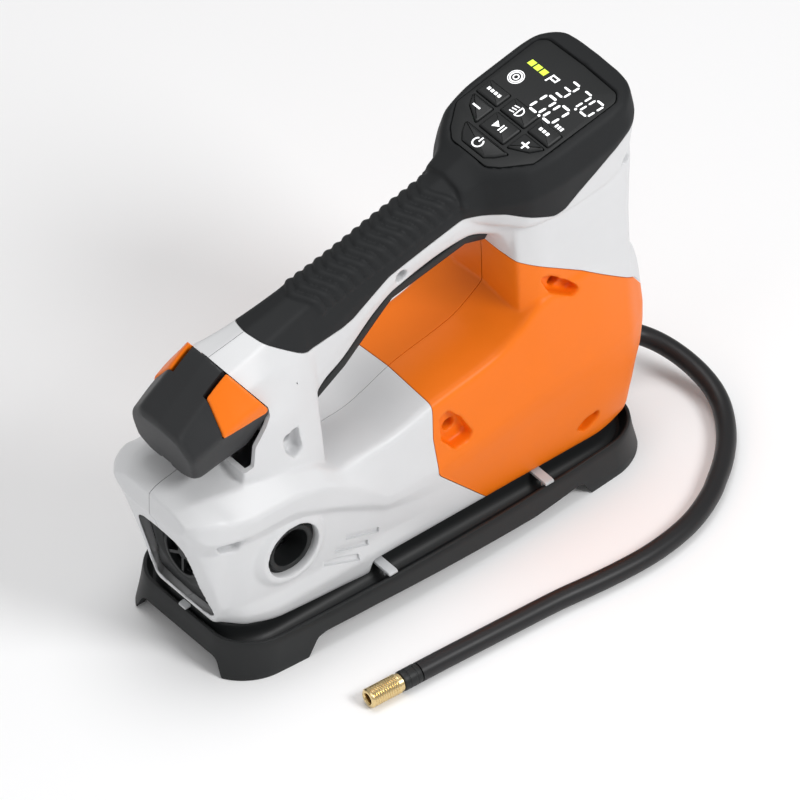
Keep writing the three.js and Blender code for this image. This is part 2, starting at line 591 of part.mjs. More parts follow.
function makeCell(y, v) {
  const body = bar('x', y, v, CELL.from, CELL.from + CELL.length, CELL.radius, 14);
  const tip = bar('x', y, v, CELL.from + CELL.length - 0.5, CELL.from + CELL.length + 1, 2.8, 8);
  return placedInBattery(join(body, tip));
}

// ---------------------------------------------------------------- tray

// Extra points on the long sides of an outline, so that it can be bowed.
const refined = (points, longest = 25) =>
  points.flatMap(([x, y], i) => {
    const [endX, endY] = points[(i + 1) % points.length];
    const pieces = Math.abs(endX - x) > longest ? 8 : 1;
    return Array.from({ length: pieces }, (_, k) => {
      const share = k / pieces;
      return [x + (endX - x) * share, y + (endY - y) * share];
    });
  });

const bowed = ([x, y]) => [x, y * (1 - TRAY.bow * ((x - TRAY.widest) / 100) ** 2)];

function trayOutline(inset, spread = 0) {
  const halfLength = TRAY.halfLength - inset + spread * TRAY.flareX;
  const halfWidth = TRAY.halfWidth - inset + spread * TRAY.flareY;
  const corner = TRAY.corner - inset + spread * 3;
  const outline = roundedRectangle(TRAY.x - halfLength, TRAY.x + halfLength, -halfWidth, halfWidth, corner);
  return refined(outline).map(bowed);
}

// The arches between the feet, seen from the side and from the end.
const SIDE_ARCH = [
  [-98.9, -1], [-92, 11], [-86, 12.5], [-50, 12.3], [20, 10], [62, 8.6], [80, 9.8], [92, 11], [98, 9.5], [103.6, -1],
];
const END_ARCH = [[-37, -1], [-31, 12], [31, 12], [37, -1]];

function makeTray() {
  const level = (z, spread) => trayOutline(0, spread).map(([x, y]) => new THREE.Vector3(x, y, z));
  const body = loft([level(0, 1), level(8, 0.7), level(TRAY.rim, 0)]);
  const deck = prism('z', deckOutline, TRAY.channelFloor - 1, TRAY.deck);
  const channel = prism('z', trayOutline(TRAY.rimWall), TRAY.channelFloor, FAR);
  const under = prism('z', trayOutline(TRAY.rimWall + 1), -FAR, TRAY.channelFloor - TRAY.floorThickness);
  const underDeck = prism('z', grown(deckOutline, -TRAY.deckWall), -FAR, TRAY.deck - TRAY.floorThickness);
  return body
    .subtract(channel)
    .add(deck)
    .subtract(under)
    .subtract(underDeck)
    .subtract(prism('y', SIDE_ARCH, -FAR, FAR))
    .subtract(prism('x', END_ARCH, -FAR, FAR));
}

const CLIPS = {
  front: { x: DECK.front, y: 0, turn: Math.PI, reach: 3.8, hook: false },
  near_front: { x: -38.5, y: -1, turn: -Math.PI / 2, reach: 15, hook: true },
  near_rear: { x: 73, y: -1, turn: -Math.PI / 2, reach: 14, hook: true },
  far_front: { x: -38.5, y: 1, turn: Math.PI / 2, reach: 15, hook: true },
  far_rear: { x: 73, y: 1, turn: Math.PI / 2, reach: 14, hook: true },
};
const CLIP = { root: 3.2, width: 6, low: 24.8, high: 27, hookFrom: 9.4, hookTo: 11, hookDepth: 2.4 };

function clipMatrix({ x, y, turn }) {
  const turned = new THREE.Matrix4().makeRotationZ(turn);
  return new THREE.Matrix4().makeTranslation(x, y * DECK.halfWidth, 0).multiply(turned);
}

// The tab points along its own +X, away from the housing.
function makeClip(place, play = 0) {
  const half = CLIP.width / 2 + play;
  const tab = box(-CLIP.root - play, place.reach, -half, half, CLIP.low - play, CLIP.high + play);
  const hook = box(CLIP.hookFrom, CLIP.hookTo, -half, half, CLIP.low - CLIP.hookDepth, CLIP.high);
  return solid(geometryOf(place.hook ? join(tab, hook) : tab).applyMatrix4(clipMatrix(place)));
}

const TRAY_SCREWS = { front: -88, rear: 60 };
const TRAY_SCREW_Y = 22;

function makeTrayScrew(x) {
  const head = bar('z', x, TRAY_SCREW_Y, 19, 21.5, SCREW.head, 12);
  return join(head, bar('z', x, TRAY_SCREW_Y, 21, 39, SCREW.shank, 8));
}

const trayScrewRoom = (x) =>
  join(
    bar('z', x, TRAY_SCREW_Y, 10, 21.7, SCREW.head + SCREW.play, 12),
    bar('z', x, TRAY_SCREW_Y, 20, 60, SCREW.shank + SCREW.play, 10),
  );
const trayScrewPost = (x) => bar('z', x, TRAY_SCREW_Y, 15, TRAY.deck, 6.5, 14);
const housingScrewPost = (x) => bar('z', x, TRAY_SCREW_Y, 29.5, 42, 4.4, 12);

const clipRooms = join(...Object.values(CLIPS).map((place) => makeClip(place, GAP)));
const trayScrewRooms = join(...Object.values(TRAY_SCREWS).map(trayScrewRoom));
const tray = makeTray()
  .add(join(...Object.values(TRAY_SCREWS).map(trayScrewPost)))
  .subtract(clipRooms)
  .subtract(trayScrewRooms);

// ---------------------------------------------------------------- nose bowl, grille, lamp, side ports

function makeBowl() {
  const plug = prism('x', grown(mouthOutline, -0.5), -152, -131);
  const skin = loft(inwards(outerGrids[0], 1.2));
  const slantCut = prism('y', [[-200, 140], [-153, 92], [-134.5, 24], [-200, 24]], -FAR, FAR);
  const hollowBowl = solid(
    new THREE.SphereGeometry(1, 16, 10).scale(17, 23, 30).translate(-154, 0, 58),
  );
  const duct = bar('x', 0, GRILLE.z, -180, -100, GRILLE.radius + GAP, 20);
  return plug.intersect(skin).subtract(slantCut).subtract(hollowBowl).subtract(duct).subtract(lampRoom);
}

const LAMP = { x: -141, z: 83.6, radius: 2 };
const lampRoom = bar('x', 0, LAMP.z, -180, LAMP.x + 6, LAMP.radius + GAP, 12);
const makeLamp = () => bar('x', 0, LAMP.z, LAMP.x, LAMP.x + 5, LAMP.radius, 10);

function makeGrille() {
  const from = GRILLE.x;
  const to = GRILLE.x + GRILLE.thickness;
  const ring = ringBar('x', 0, GRILLE.z, from, to, GRILLE.radius, GRILLE.radius - GRILLE.ring, 20);
  const hub = bar('x', 0, GRILLE.z, from, to, GRILLE.hub, 8);
  const half = GRILLE.spokeWidth / 2;
  const spokes = Array.from({ length: GRILLE.spokes }, (_, i) => {
    const bar0 = new THREE.BoxGeometry(GRILLE.thickness, 2 * half, GRILLE.radius - 1);
    bar0.translate((from + to) / 2, 0, GRILLE.radius / 2).rotateX((2 * Math.PI * i) / GRILLE.spokes);
    return solid(bar0.translate(0, 0, GRILLE.z));
  });
  return join(ring, hub, ...spokes);
}

function makeSidePort(side) {
  const { x, z, hole, lip, bore, face, depth } = SIDE_PORT;
  const shellRadius = hole - GAP;
  const profile = [
    [bore, 0], [lip, 0], [lip, 1.6], [shellRadius, 2.4], [shellRadius, 6], [lip, 6.4], [lip, depth], [bore, depth],
  ];
  const points = [...profile, profile[0]].map(([r, d]) => new THREE.Vector2(r, d));
  const ring = new THREE.LatheGeometry(points.reverse(), 20);
  if (side > 0) ring.rotateX(Math.PI);
  ring.translate(x, side * face, z);
  const made = solid(ring);
  return made.volume() > 0 ? made : solid(turnedInsideOut(ring));
}

// ---------------------------------------------------------------- motor, gears, pump

function toothedOutline(teeth, phase, cy, cz) {
  const pitch = (teeth * GEAR_MODULE) / 2;
  const tip = pitch + GEAR_MODULE * 0.75;
  const root = pitch - GEAR_MODULE * 1.15;
  const step = (2 * Math.PI) / teeth;
  const corners = [[-0.27, root], [-0.1, tip], [0.1, tip], [0.27, root]];
  return Array.from({ length: teeth }, (_, i) => i).flatMap((i) =>
    corners.map(([share, radius]) => {
      const angle = phase + (i + share) * step;
      return [cy + radius * Math.cos(angle), cz + radius * Math.sin(angle)];
    }),
  );
}

const centreDistance = ((PINION.teeth + GEAR.teeth) * GEAR_MODULE) / 2 + 0.2;
const gearZ = DRIVE.z - Math.sqrt(centreDistance ** 2 - GEAR.y ** 2);
// The line from the gear to the pinion. A gear tooth points along it and meets a pinion gap.
const meshAngle = Math.atan2(DRIVE.z - gearZ, -GEAR.y);

const makeShaft = () => bar('x', DRIVE.y, DRIVE.z, -140, PINION.to + 1, SHAFT_RADIUS, 12);

const makeMotor = () =>
  join(
    bar('x', DRIVE.y, DRIVE.z, MOTOR.from, MOTOR.to, MOTOR.radius, 20),
    bar('x', DRIVE.y, DRIVE.z, MOTOR.from - 2.5, MOTOR.to + 1.6, MOTOR.boss, 16),
  ).subtract(bar('x', DRIVE.y, DRIVE.z, MOTOR.from - 9, MOTOR.to + 9, SHAFT_RADIUS + 0.3, 12));

const pinionPhase = meshAngle + Math.PI + Math.PI / PINION.teeth;
const makePinion = () =>
  prism('x', toothedOutline(PINION.teeth, pinionPhase, DRIVE.y, DRIVE.z), PINION.from, PINION.to)
    .subtract(bar('x', DRIVE.y, DRIVE.z, PINION.from - 1, PINION.to + 1, SHAFT_RADIUS + 0.1, 12));

function makeFan() {
  const hub = bar('x', DRIVE.y, DRIVE.z, FAN.from, FAN.to, FAN.hub, 10);
  const blades = Array.from({ length: FAN.blades }, (_, i) => {
    const blade = new THREE.BoxGeometry(FAN.bladeWidth, FAN.to - FAN.from, FAN.radius - FAN.hub + 1);
    blade.rotateZ(Math.PI / 4).translate((FAN.from + FAN.to) / 2, 0, (FAN.radius + FAN.hub) / 2 - 0.5);
    blade.rotateX((2 * Math.PI * i) / FAN.blades);
    return solid(blade.translate(0, DRIVE.y, DRIVE.z));
  });
  return join(hub, ...blades).subtract(bar('x', DRIVE.y, DRIVE.z, -150, -120, SHAFT_RADIUS + 0.1, 12));
}

const crankPinZ = gearZ + CRANK.throw;

function makeGear() {
  const teeth = prism('x', toothedOutline(GEAR.teeth, meshAngle, GEAR.y, gearZ), GEAR.from, GEAR.to);
  const disc = bar('x', GEAR.y, gearZ, GEAR.to - 1, CRANK.discTo, CRANK.throw + CRANK.pin + 1.5, 20);
  const pin = bar('x', GEAR.y, crankPinZ, CRANK.discTo - 1, CRANK.pinTo, CRANK.pin, 12);
  const bore = bar('x', GEAR.y, gearZ, GEAR.from - 1, CRANK.discTo - 1.5, GEAR.bore, 14);
  return join(teeth, disc, pin).subtract(bore);
}

// The rod's eye stops short of the crank pin, which leaves that pivot open.
function makeRod() {
  const { rodFrom, rodTo, rodWidth, eye, from } = PISTON;
  const foot = ringBar('x', GEAR.y, crankPinZ, rodFrom, rodTo, eye, CRANK.pin + 0.3, 18);
  const half = rodWidth / 2;
  const shank = box(rodFrom, rodTo, GEAR.y - half, GEAR.y + half, crankPinZ + eye - 1, from + 1);
  const crown = bar('z', CYLINDER.x, GEAR.y, from, PISTON.to, CYLINDER.bore - 0.7, 24);
  const groove = ringBar('z', CYLINDER.x, GEAR.y, from + 1.4, from + 3.4, CYLINDER.bore, CYLINDER.bore - 2.2, 24);
  return join(foot, shank, crown).subtract(groove);
}

const makeSeal = () =>
  ringBar('z', CYLINDER.x, GEAR.y, PISTON.from + 1.6, PISTON.from + 3.2, CYLINDER.bore - 0.3, CYLINDER.bore - 2, 24);

const makeCylinder = () =>
  ringBar('z', CYLINDER.x, GEAR.y, CYLINDER.from, CYLINDER.to, CYLINDER.bore + CYLINDER.wall, CYLINDER.bore, 24);

function makeHead() {
  const { x, bore, wall, to, head } = CYLINDER;
  const cover = bar('z', x, GEAR.y, to + GAP, to + head, bore + wall, 24);
  const spout = bar('x', GEAR.y, to + head / 2, x, x + bore + wall + 7, 2.4, 12);
  return join(cover, spout);
}

function makePlate() {
  const { from, to, halfWidth, bottom, top } = PLATE;
  const outline = roundedRectangle(-halfWidth, halfWidth, bottom, top, 8, 3);
  const blank = prism('x', outline, from, to);
  const stub = bar('x', GEAR.y, gearZ, to - 1, GEAR.to - 2.5, GEAR.bore - 0.4, 12);
  const arm = box(to - 1, CYLINDER.x - CYLINDER.bore - CYLINDER.wall - GAP, GEAR.y - 5, GEAR.y + 5, 78, 86);
  const shaftHole = bar('x', DRIVE.y, DRIVE.z, from - 5, to + 5, MOTOR.boss + GAP, 16);
  return join(blank, stub, arm).subtract(shaftHole);
}

const OUTLET = { x: 136, y: GLAND.y, z: GLAND.z, length: 14, half: 7, below: 0.7, above: 22 };

function makeOutlet() {
  const { x, y, z, length, half, below, above } = OUTLET;
  const block = box(x - length, x, y - half, y + half, z - below, z + above);
  const spigot = bar('x', y, z, x - 1, GLAND.from - 2, 3, 12);
  return join(block, spigot);
}

// Inner hose from the cylinder head down to the outlet block.
function makeAirTube() {
  const startX = CYLINDER.x + CYLINDER.bore + CYLINDER.wall + 7 + 3 * GAP;
  const headZ = CYLINDER.to + CYLINDER.head / 2;
  const route = new THREE.CatmullRomCurve3([
    new THREE.Vector3(startX, GEAR.y, headZ),
    new THREE.Vector3(startX + 12, GEAR.y + 2, headZ - 2),
    new THREE.Vector3(startX + 45, GEAR.y + 10, 72),
    new THREE.Vector3(70, GEAR.y + 8, 60),
    new THREE.Vector3(98, OUTLET.y + 1, OUTLET.z + 23.5),
    new THREE.Vector3(OUTLET.x - OUTLET.length - 4 * GAP, OUTLET.y, OUTLET.z + 18),
  ]);
  return tubeAlong(route, 3, 14, 8);
}

function tubeAlong(curve, radius, steps, sides) {
  const shape = new THREE.Shape(circlePoints(0, 0, radius, sides).map(([a, b]) => new THREE.Vector2(a, b)));
  return solid(new THREE.ExtrudeGeometry(shape, { steps, extrudePath: curve, bevelEnabled: false }));
}

const makeControlBoard = () =>
  join(
    box(70.5, 146, -26, -24.4, 50, 110),
    box(82, 98, -24.6, -14, 60, 74),
    bar('y', 128, 95, -24.6, -10, 6, 16),
    bar('y', 112, 95, -24.6, -10, 6, 16),
  );

const makeDisplayBoard = () =>
  placedInPanel(
    join(
      prism('z', [[-38, -16], [-26, -27], [35, -27], [35, 27], [-26, 27], [-38, 16]], -13, -11.4),
      prism('z', [[3, -21], [33, -21], [33, 21], [3, 21]], -11.6, -PANEL.thickness - 1),
    ),
  );

const makeTerminal = () =>
  placedInBattery(prism('x', [[-10, -12], [10, -12], [10, 8], [-10, 8]], PACK.to + 1.8, PACK.to + 6));

// ---------------------------------------------------------------- hose

const HOSE_ROUTE = [
  [168.7, 15, 32.5], [172.5, 15, 32.4], [178, 14, 30.8], [183.5, 11.3, 27.9], [189, 7, 25.4], [194, 0.2, 22.8],
  [198, -8.5, 19.9], [200.6, -18, 17], [202, -28, 13.8], [201.4, -39, 10.8], [198.5, -49, 8.4], [193.8, -57.8, 6.9],
  [187.9, -66.2, 6.1], [181, -74.1, 5.95], [170, -84.2, 5.95], [158, -93, 5.95], [149.8, -98.5, 5.95],
  [131.5, -107.2, 5.95], [114.5, -111.9, 5.95], [92.3, -114.5, 5.95], [71.6, -114.2, 5.95], [51.6, -112.6, 5.95],
  [31.9, -110.4, 5.95], [2, -108.7, 5.95], [-25, -107.3, 5.95], [-45, -106.3, 5.95], [-64.5, -105.5, 5.95],
];
const hoseCurve = new THREE.CatmullRomCurve3(HOSE_ROUTE.map((p) => new THREE.Vector3(...p)));
const hoseEnd = new THREE.Vector3(...HOSE_ROUTE[HOSE_ROUTE.length - 1]);
const hoseDirection = hoseCurve.getTangent(1);

// A lathed piece whose own +Y is the hose's direction at its end, starting `ahead` past that end.
function onHoseEnd(profile, ahead, sides) {
  const lathe = new THREE.LatheGeometry(profile.map(([r, h]) => new THREE.Vector2(r, h)), sides);
  const turn = new THREE.Quaternion().setFromUnitVectors(new THREE.Vector3(0, 1, 0), hoseDirection);
  const place = hoseEnd.clone().addScaledVector(hoseDirection, ahead);
  lathe.applyQuaternion(turn).translate(place.x, place.y, place.z);
  const made = solid(lathe);
  return made.volume() > 0 ? made : solid(turnedInsideOut(lathe));
}

function makeFerrule() {
  const { length, radius } = FERRULE;
  const reach = Math.min(radius, hoseEnd.z); // its underside stays above the floor
  const profile = [[0, 0], [reach - 0.6, 0], [reach, 1], [reach, length - 1], [reach - 0.6, length], [0, length]];
  return onHoseEnd(profile, GAP, 16);
}

function makeFitting() {
  const { length, radius, bore, ridges, ridge } = FITTING;
  const thread = Array.from({ length: ridges }, (_, i) => i).flatMap((i) => {
    const start = 3 + ((length - 4) * i) / ridges;
    const step = (length - 4) / ridges;
    return [[radius - ridge, start], [radius, start + step * 0.5]];
  });
  const profile = [
    [0, 0], [radius - ridge, 0], ...thread, [radius - ridge, length - 0.8], [radius - 1.2, length],
    [bore, length], [bore, length - 9], [0, length - 9],
  ];
  return onHoseEnd(profile, FERRULE.length + 2 * GAP, 12);
}

function makeGland() {
  const { y, z, from, to, rear, front } = GLAND;
  const body = join(
    bar('x', y, z, from, to, rear - 0.4, 20, front),
    bar('x', y, z, from, from + 3, rear, 20),
  );
  return body.subtract(bar('x', y, z, from - 1, from + 6, 3.4, 12));
}

// ---------------------------------------------------------------- assembly

const pump = new THREE.Group();

function place(name, manifold, material) {
  const mesh = new THREE.Mesh(geometryOf(manifold), material);
  mesh.name = name;
  pump.add(mesh);
}

function casing() {
  const frontPost = housingScrewPost(TRAY_SCREWS.front);
  const rearPost = housingScrewPost(TRAY_SCREWS.rear);
  place('front_casing_left', near.intersect(whiteCasing), WHITE);
  place('front_casing_right', far.intersect(whiteCasing).add(frontPost).subtract(trayScrewRooms), WHITE);
  place('rear_casing_left', near.intersect(orangeCasing), ORANGE);
  place('rear_casing_right', far.intersect(orangeCasing).add(rearPost).subtract(trayScrewRooms), ORANGE);
  place('grip_cover', gripCover, RUBBER);
  place('finger_liner', liner, BLACK);
  place('base_tray', tray, BLACK);
  for (const [name, spot] of Object.entries(CLIPS)) place(`hose_clip_${name}`, makeClip(spot), PALE);
  for (const pocket of POCKETS) place(`casing_screw_${pocket.name}`, makeScrew(pocket), STEEL);
  for (const [name, x] of Object.entries(TRAY_SCREWS)) place(`tray_screw_${name}`, makeTrayScrew(x), STEEL);
}

function controls() {
  place('display_panel', makePanel(), BLACK);
  for (const [name, outline] of Object.entries(KEYS)) place(`${name}_key`, makeKey(outline), BLACK);
  place('display_board', makeDisplayBoard(), BOARD);
  place('control_board', makeControlBoard(), BOARD);
}

function nose() {
  place('nose_bowl', makeBowl(), BLACK);
  place('intake_grille', makeGrille(), BLACK);
  place('lamp_lens', makeLamp(), LENS);
  place('side_port_left', makeSidePort(-1), BLACK);
  place('side_port_right', makeSidePort(1), BLACK);
}

function battery() {
  place('battery_cap', cap, CHARCOAL);
  place('battery_sleeve', makePack(), BLACK);
  place('latch_left', makeLatch(-1), ORANGE);
  place('latch_right', makeLatch(1), ORANGE);
  place('battery_cell_left', makeCell(-CELL.pitch / 2, CELL.low), CELL_WRAP);
  place('battery_cell_right', makeCell(CELL.pitch / 2, CELL.low), CELL_WRAP);
  place('battery_cell_top', makeCell(0, CELL.high), CELL_WRAP);
  place('battery_terminal', makeTerminal(), BLACK);
}

function drive() {
  place('motor', makeMotor(), STEEL);
  place('motor_shaft', makeShaft(), STEEL);
  place('cooling_fan', makeFan(), BLACK);
  place('pinion', makePinion(), BRASS);
  place('gear_plate', makePlate(), ALUMINIUM);
  place('crank_gear', makeGear(), STEEL);
  place('piston', makeRod(), ALUMINIUM);
  place('piston_seal', makeSeal(), BLACK);
  place('cylinder', makeCylinder(), ALUMINIUM);
  place('cylinder_head', makeHead(), ALUMINIUM);
  place('air_tube', makeAirTube(), RUBBER);
  place('outlet_block', makeOutlet(), ALUMINIUM);
}

function hose() {
  place('hose_gland', makeGland(), BLACK);
  place('hose', tubeAlong(hoseCurve, HOSE.radius, HOSE.steps, HOSE.sides), RUBBER);
  place('hose_ferrule', makeFerrule(), BLACK);
  place('hose_fitting', makeFitting(), BRASS);
}

casing();
controls();
nose();
battery();
drive();
hose();

export default pump;
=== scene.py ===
# %% [markdown]
# # A cordless tyre inflator on its tray
#
# The object is an air pump that a person carries by its handle. Two moulded casings hold the motor
# and the pump, a battery slides into the front, and the hose rests in a channel round the tray.
# The CAD model fixes where every piece is and how it moves. This file gives each piece that shows
# its real surface: soft creases, parting lines, ribs, threads and the fine grain of each plastic.

# %% Load the frame
import math

import bpy
import numpy as np
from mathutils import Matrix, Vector


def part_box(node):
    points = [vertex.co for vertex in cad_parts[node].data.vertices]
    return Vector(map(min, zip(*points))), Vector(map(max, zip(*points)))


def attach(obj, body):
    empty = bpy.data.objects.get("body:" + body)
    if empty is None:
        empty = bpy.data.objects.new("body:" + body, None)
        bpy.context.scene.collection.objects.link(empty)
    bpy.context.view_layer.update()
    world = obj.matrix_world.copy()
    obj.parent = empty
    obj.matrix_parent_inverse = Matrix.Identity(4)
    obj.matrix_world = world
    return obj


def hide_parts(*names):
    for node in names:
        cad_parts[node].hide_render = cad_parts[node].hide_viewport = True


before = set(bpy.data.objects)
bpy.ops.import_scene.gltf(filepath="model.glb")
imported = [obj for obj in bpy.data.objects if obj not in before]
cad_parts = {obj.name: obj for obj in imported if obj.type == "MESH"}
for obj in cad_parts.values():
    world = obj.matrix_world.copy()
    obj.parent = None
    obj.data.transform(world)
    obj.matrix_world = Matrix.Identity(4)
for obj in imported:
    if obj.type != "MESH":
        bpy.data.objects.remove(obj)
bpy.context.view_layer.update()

MM = 0.001  # shapes are worked out in millimetres and kept in metres
print("pieces of the frame:", len(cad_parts))

# %% [markdown]
# ## The camera
#
# A long lens far away gives the nearly parallel lines of a catalogue picture. The camera is placed
# by two angles and a distance from a point inside the object, which is easier to correct than
# three coordinates.

# %% Camera
AZIMUTH = math.radians(-39.6)
ELEVATION = math.radians(42.8)
DISTANCE = 8.696
LOOK_AT = Vector((0.0099, 0.0, 0.0875))

towards_camera = Vector((
    math.sin(AZIMUTH) * math.cos(ELEVATION),
    -math.cos(AZIMUTH) * math.cos(ELEVATION),
    math.sin(ELEVATION),
))
camera = bpy.data.objects.new("camera", bpy.data.cameras.new("camera"))
camera.data.lens = 720
camera.location = LOOK_AT + towards_camera * DISTANCE
camera.rotation_mode = "QUATERNION"
camera.rotation_quaternion = (-towards_camera).to_track_quat("-Z", "Y")
bpy.context.scene.collection.objects.link(camera)
bpy.context.scene.camera = camera

# %% [markdown]
# ## Meshes from arrays
#
# Almost every piece here is a loft: closed loops of points, one after another, joined by quads.
# A whole loft is one array of shape (loops, points, 3), so its faces are worked out by counting,
# with no loop over vertices. The two ends are closed by one flat face each, unless the last loop
# joins the first again.


# %% Lofts
def mesh_object(name, points, faces):
    """Makes an object from points in millimetres and lists of vertex numbers."""
    mesh = bpy.data.meshes.new(name)
    mesh.from_pydata((np.asarray(points) * MM).tolist(), [], faces)
    piece = bpy.data.objects.new(name, mesh)
    bpy.context.scene.collection.objects.link(piece)
    return piece


def signed_volume(mesh):
    """Sum over triangles of a·(b×c)/6, which is positive when the faces point outwards."""
    mesh.calc_loop_triangles()
    corners = np.empty(len(mesh.loop_triangles) * 3, np.int32)
    mesh.loop_triangles.foreach_get("vertices", corners)
    places = np.empty(len(mesh.vertices) * 3)
    mesh.vertices.foreach_get("co", places)
    a, b, c = places.reshape(-1, 3)[corners.reshape(-1, 3)].transpose(1, 0, 2)
    return np.einsum("ij,ij->i", a, np.cross(b, c)).sum() / 6


def loft(name, rows, ring=False):
    """Quad (r, c) joins loop r to loop r + 1 and column c to column c + 1."""
    rows = np.asarray(rows, float)
    count, around = rows.shape[:2]
    r = np.arange(count if ring else count - 1)[:, None] * around
    c = np.arange(around)[None, :]
    step = (c + 1) % around
    below = (r + around) % (count * around)
    faces = np.stack([r + c, r + step, below + step, below + c], -1).reshape(-1, 4).tolist()
    if not ring:
        faces.append(list(range(around))[::-1])
        faces.append(list(range((count - 1) * around, count * around)))
    piece = mesh_object(name, rows.reshape(-1, 3), faces)
    if signed_volume(piece.data) < 0:
        piece.data.flip_normals()
    return piece


# %% [markdown]
# ## Outlines
#
# A moulded edge is never a sharp corner. `rounded` cuts each corner of an outline and puts a
# parabola there, and `inset` moves an outline inwards, square to its sides, as a wall does.


# %% Outlines
def rounded(points, radius, steps=5):
    """Each corner becomes a parabola that starts radius·tan(turn/2) from it on both sides.
    The start stays between 4% and 46% of the shorter side."""
    p = np.asarray(points, float)
    before = np.roll(p, 1, -2) - p
    after = np.roll(p, -1, -2) - p
    long_before = np.linalg.norm(before, axis=-1, keepdims=True)
    long_after = np.linalg.norm(after, axis=-1, keepdims=True)
    before, after = before / long_before, after / long_after
    cosine = np.clip(-(before * after).sum(-1, keepdims=True), -1, 1)
    short = np.minimum(long_before, long_after)
    reach = np.reshape(radius, (-1, 1)) * np.tan(np.minimum(np.arccos(cosine) / 2, 1.4))
    cut = np.clip(reach, 0.04 * short, 0.46 * short)[..., None, :]
    t = np.linspace(0, 1, steps)[:, None]
    corner = p[..., None, :]
    curve = corner + (1 - t) ** 2 * cut * before[..., None, :] + t**2 * cut * after[..., None, :]
    return curve.reshape(p.shape[:-2] + (-1, p.shape[-1]))


def inset(outline, amount):
    """Moves each corner along the sum of its sides' normals, so that the sides move by amount."""
    p = np.asarray(outline, float)
    side = np.roll(p, -1, 0) - p
    area = (p[:, 0] * np.roll(p[:, 1], -1) - np.roll(p[:, 0], -1) * p[:, 1]).sum()
    normal = np.stack([-side[:, 1], side[:, 0]], -1) * np.sign(area)
    normal /= np.linalg.norm(normal, axis=1, keepdims=True)
    before = np.roll(normal, 1, 0)
    share = amount / (1 + (normal * before).sum(1, keepdims=True))
    return p + (normal + before) * share


def mirrored(half):
    """A half outline from the middle line round to the middle line, and its mirror image."""
    half = np.asarray(half, float)
    return np.concatenate([half, half[-2:0:-1] * (-1, 1)])


def circle(middle, radius, sides=40):
    """Points at equal angles."""
    angle = np.arange(sides) * 2 * np.pi / sides
    return np.stack([middle[0] + radius * np.cos(angle), middle[1] + radius * np.sin(angle)], -1)


def box_outline(low, high):
    """The four corners of a rectangle."""
    return np.array([(low[0], low[1]), (high[0], low[1]), (high[0], high[1]), (low[0], high[1])], float)


AXES = {"x": (2, 0, 1), "y": (0, 2, 1), "z": (0, 1, 2)}


def raised(outline, levels, axis="z"):
    """Loops of one outline at several (inset, height) pairs, with the height along an axis."""
    loops = [np.c_[inset(outline, in_by), np.full(len(outline), at)] for in_by, at in levels]
    return np.stack(loops)[..., AXES[axis]]


def prism(name, axis, outline, low, high):
    """An outline pulled straight from low to high along an axis."""
    return loft(name, raised(outline, [(0, low), (0, high)], axis))


# %% [markdown]
# ## Cutting and smoothing
#
# The casing is cut before it is smoothed: the pockets, ports and slots are taken out of the solid,
# the result is remeshed to small even faces, and a few rounds of averaging then soften every rim
# as a mould does. Parting lines come last, because they stay crisp.


# %% Cutters
def settle(piece):
    """Puts the result of the piece's modifiers into its mesh."""
    view = bpy.context.evaluated_depsgraph_get()
    made = bpy.data.meshes.new_from_object(piece.evaluated_get(view))
    piece.modifiers.clear()
    old, piece.data = piece.data, made
    bpy.data.meshes.remove(old)
    return piece


def combined(target, others, operation):
    """Cuts, joins or keeps the common part of closed meshes, one after another."""
    for other in others:
        modifier = target.modifiers.new("cut", "BOOLEAN")
        modifier.operation = operation
        modifier.solver = "MANIFOLD"
        modifier.object = other
        settle(target)
        bpy.data.objects.remove(other)
    return target


def cut(target, *others):
    return combined(target, others, "DIFFERENCE")


def joined(target, *others):
    return combined(target, others, "UNION")


def kept(target, *others):
    return combined(target, others, "INTERSECT")


def twin(piece, name):
    """A second object with its own copy of the mesh."""
    other = bpy.data.objects.new(name, piece.data.copy())
    bpy.context.scene.collection.objects.link(other)
    return other


def remeshed(piece, voxel):
    modifier = piece.modifiers.new("even", "REMESH")
    modifier.mode = "VOXEL"
    modifier.voxel_size = voxel * MM
    return settle(piece)


def places_of(mesh):
    places = np.empty(len(mesh.vertices) * 3)
    mesh.vertices.foreach_get("co", places)
    return places.reshape(-1, 3)


def relaxed(piece, passes, share=0.5):
    """In each pass a vertex moves by a share of the way to the average of its neighbours."""
    mesh = piece.data
    places = places_of(mesh)
    count = len(places)
    edges = np.empty(len(mesh.edges) * 2, np.int32)
    mesh.edges.foreach_get("vertices", edges)
    start, end = np.r_[edges[::2], edges[1::2]], np.r_[edges[1::2], edges[::2]]
    neighbours = np.bincount(start, minlength=count)[:, None]
    for _ in range(passes):
        total = np.stack([np.bincount(start, places[end, k], count) for k in range(3)], -1)
        places += share * (total / neighbours - places)
    mesh.vertices.foreach_set("co", places.ravel())
    mesh.update()
    return piece


def shaded(piece, angle=32):
    """Smooth shading that keeps the edges sharper than an angle."""
    mesh = piece.data
    mesh.shade_smooth()
    mesh.set_sharp_from_angle(angle=math.radians(angle))
    return piece


# %% [markdown]
# ## Finishes
#
# Two node groups hold what turns up on most pieces: one makes the fine grain that a mould leaves and
# slow changes of tone, the other a painted highlight that pales the convex edges in patches. Each material
# gives them its own values.
# The shader itself stays in the material.


# %% Node groups
def node_group(name, inputs, outputs):
    tree = bpy.data.node_groups.new(name, "ShaderNodeTree")
    for label, value in inputs.items():
        made = tree.interface.new_socket(label, in_out="INPUT", socket_type="NodeSocketFloat")
        made.default_value = value
    for label, kind in outputs.items():
        tree.interface.new_socket(label, in_out="OUTPUT", socket_type=kind)
    return tree, tree.nodes.new("NodeGroupInput"), tree.nodes.new("NodeGroupOutput")


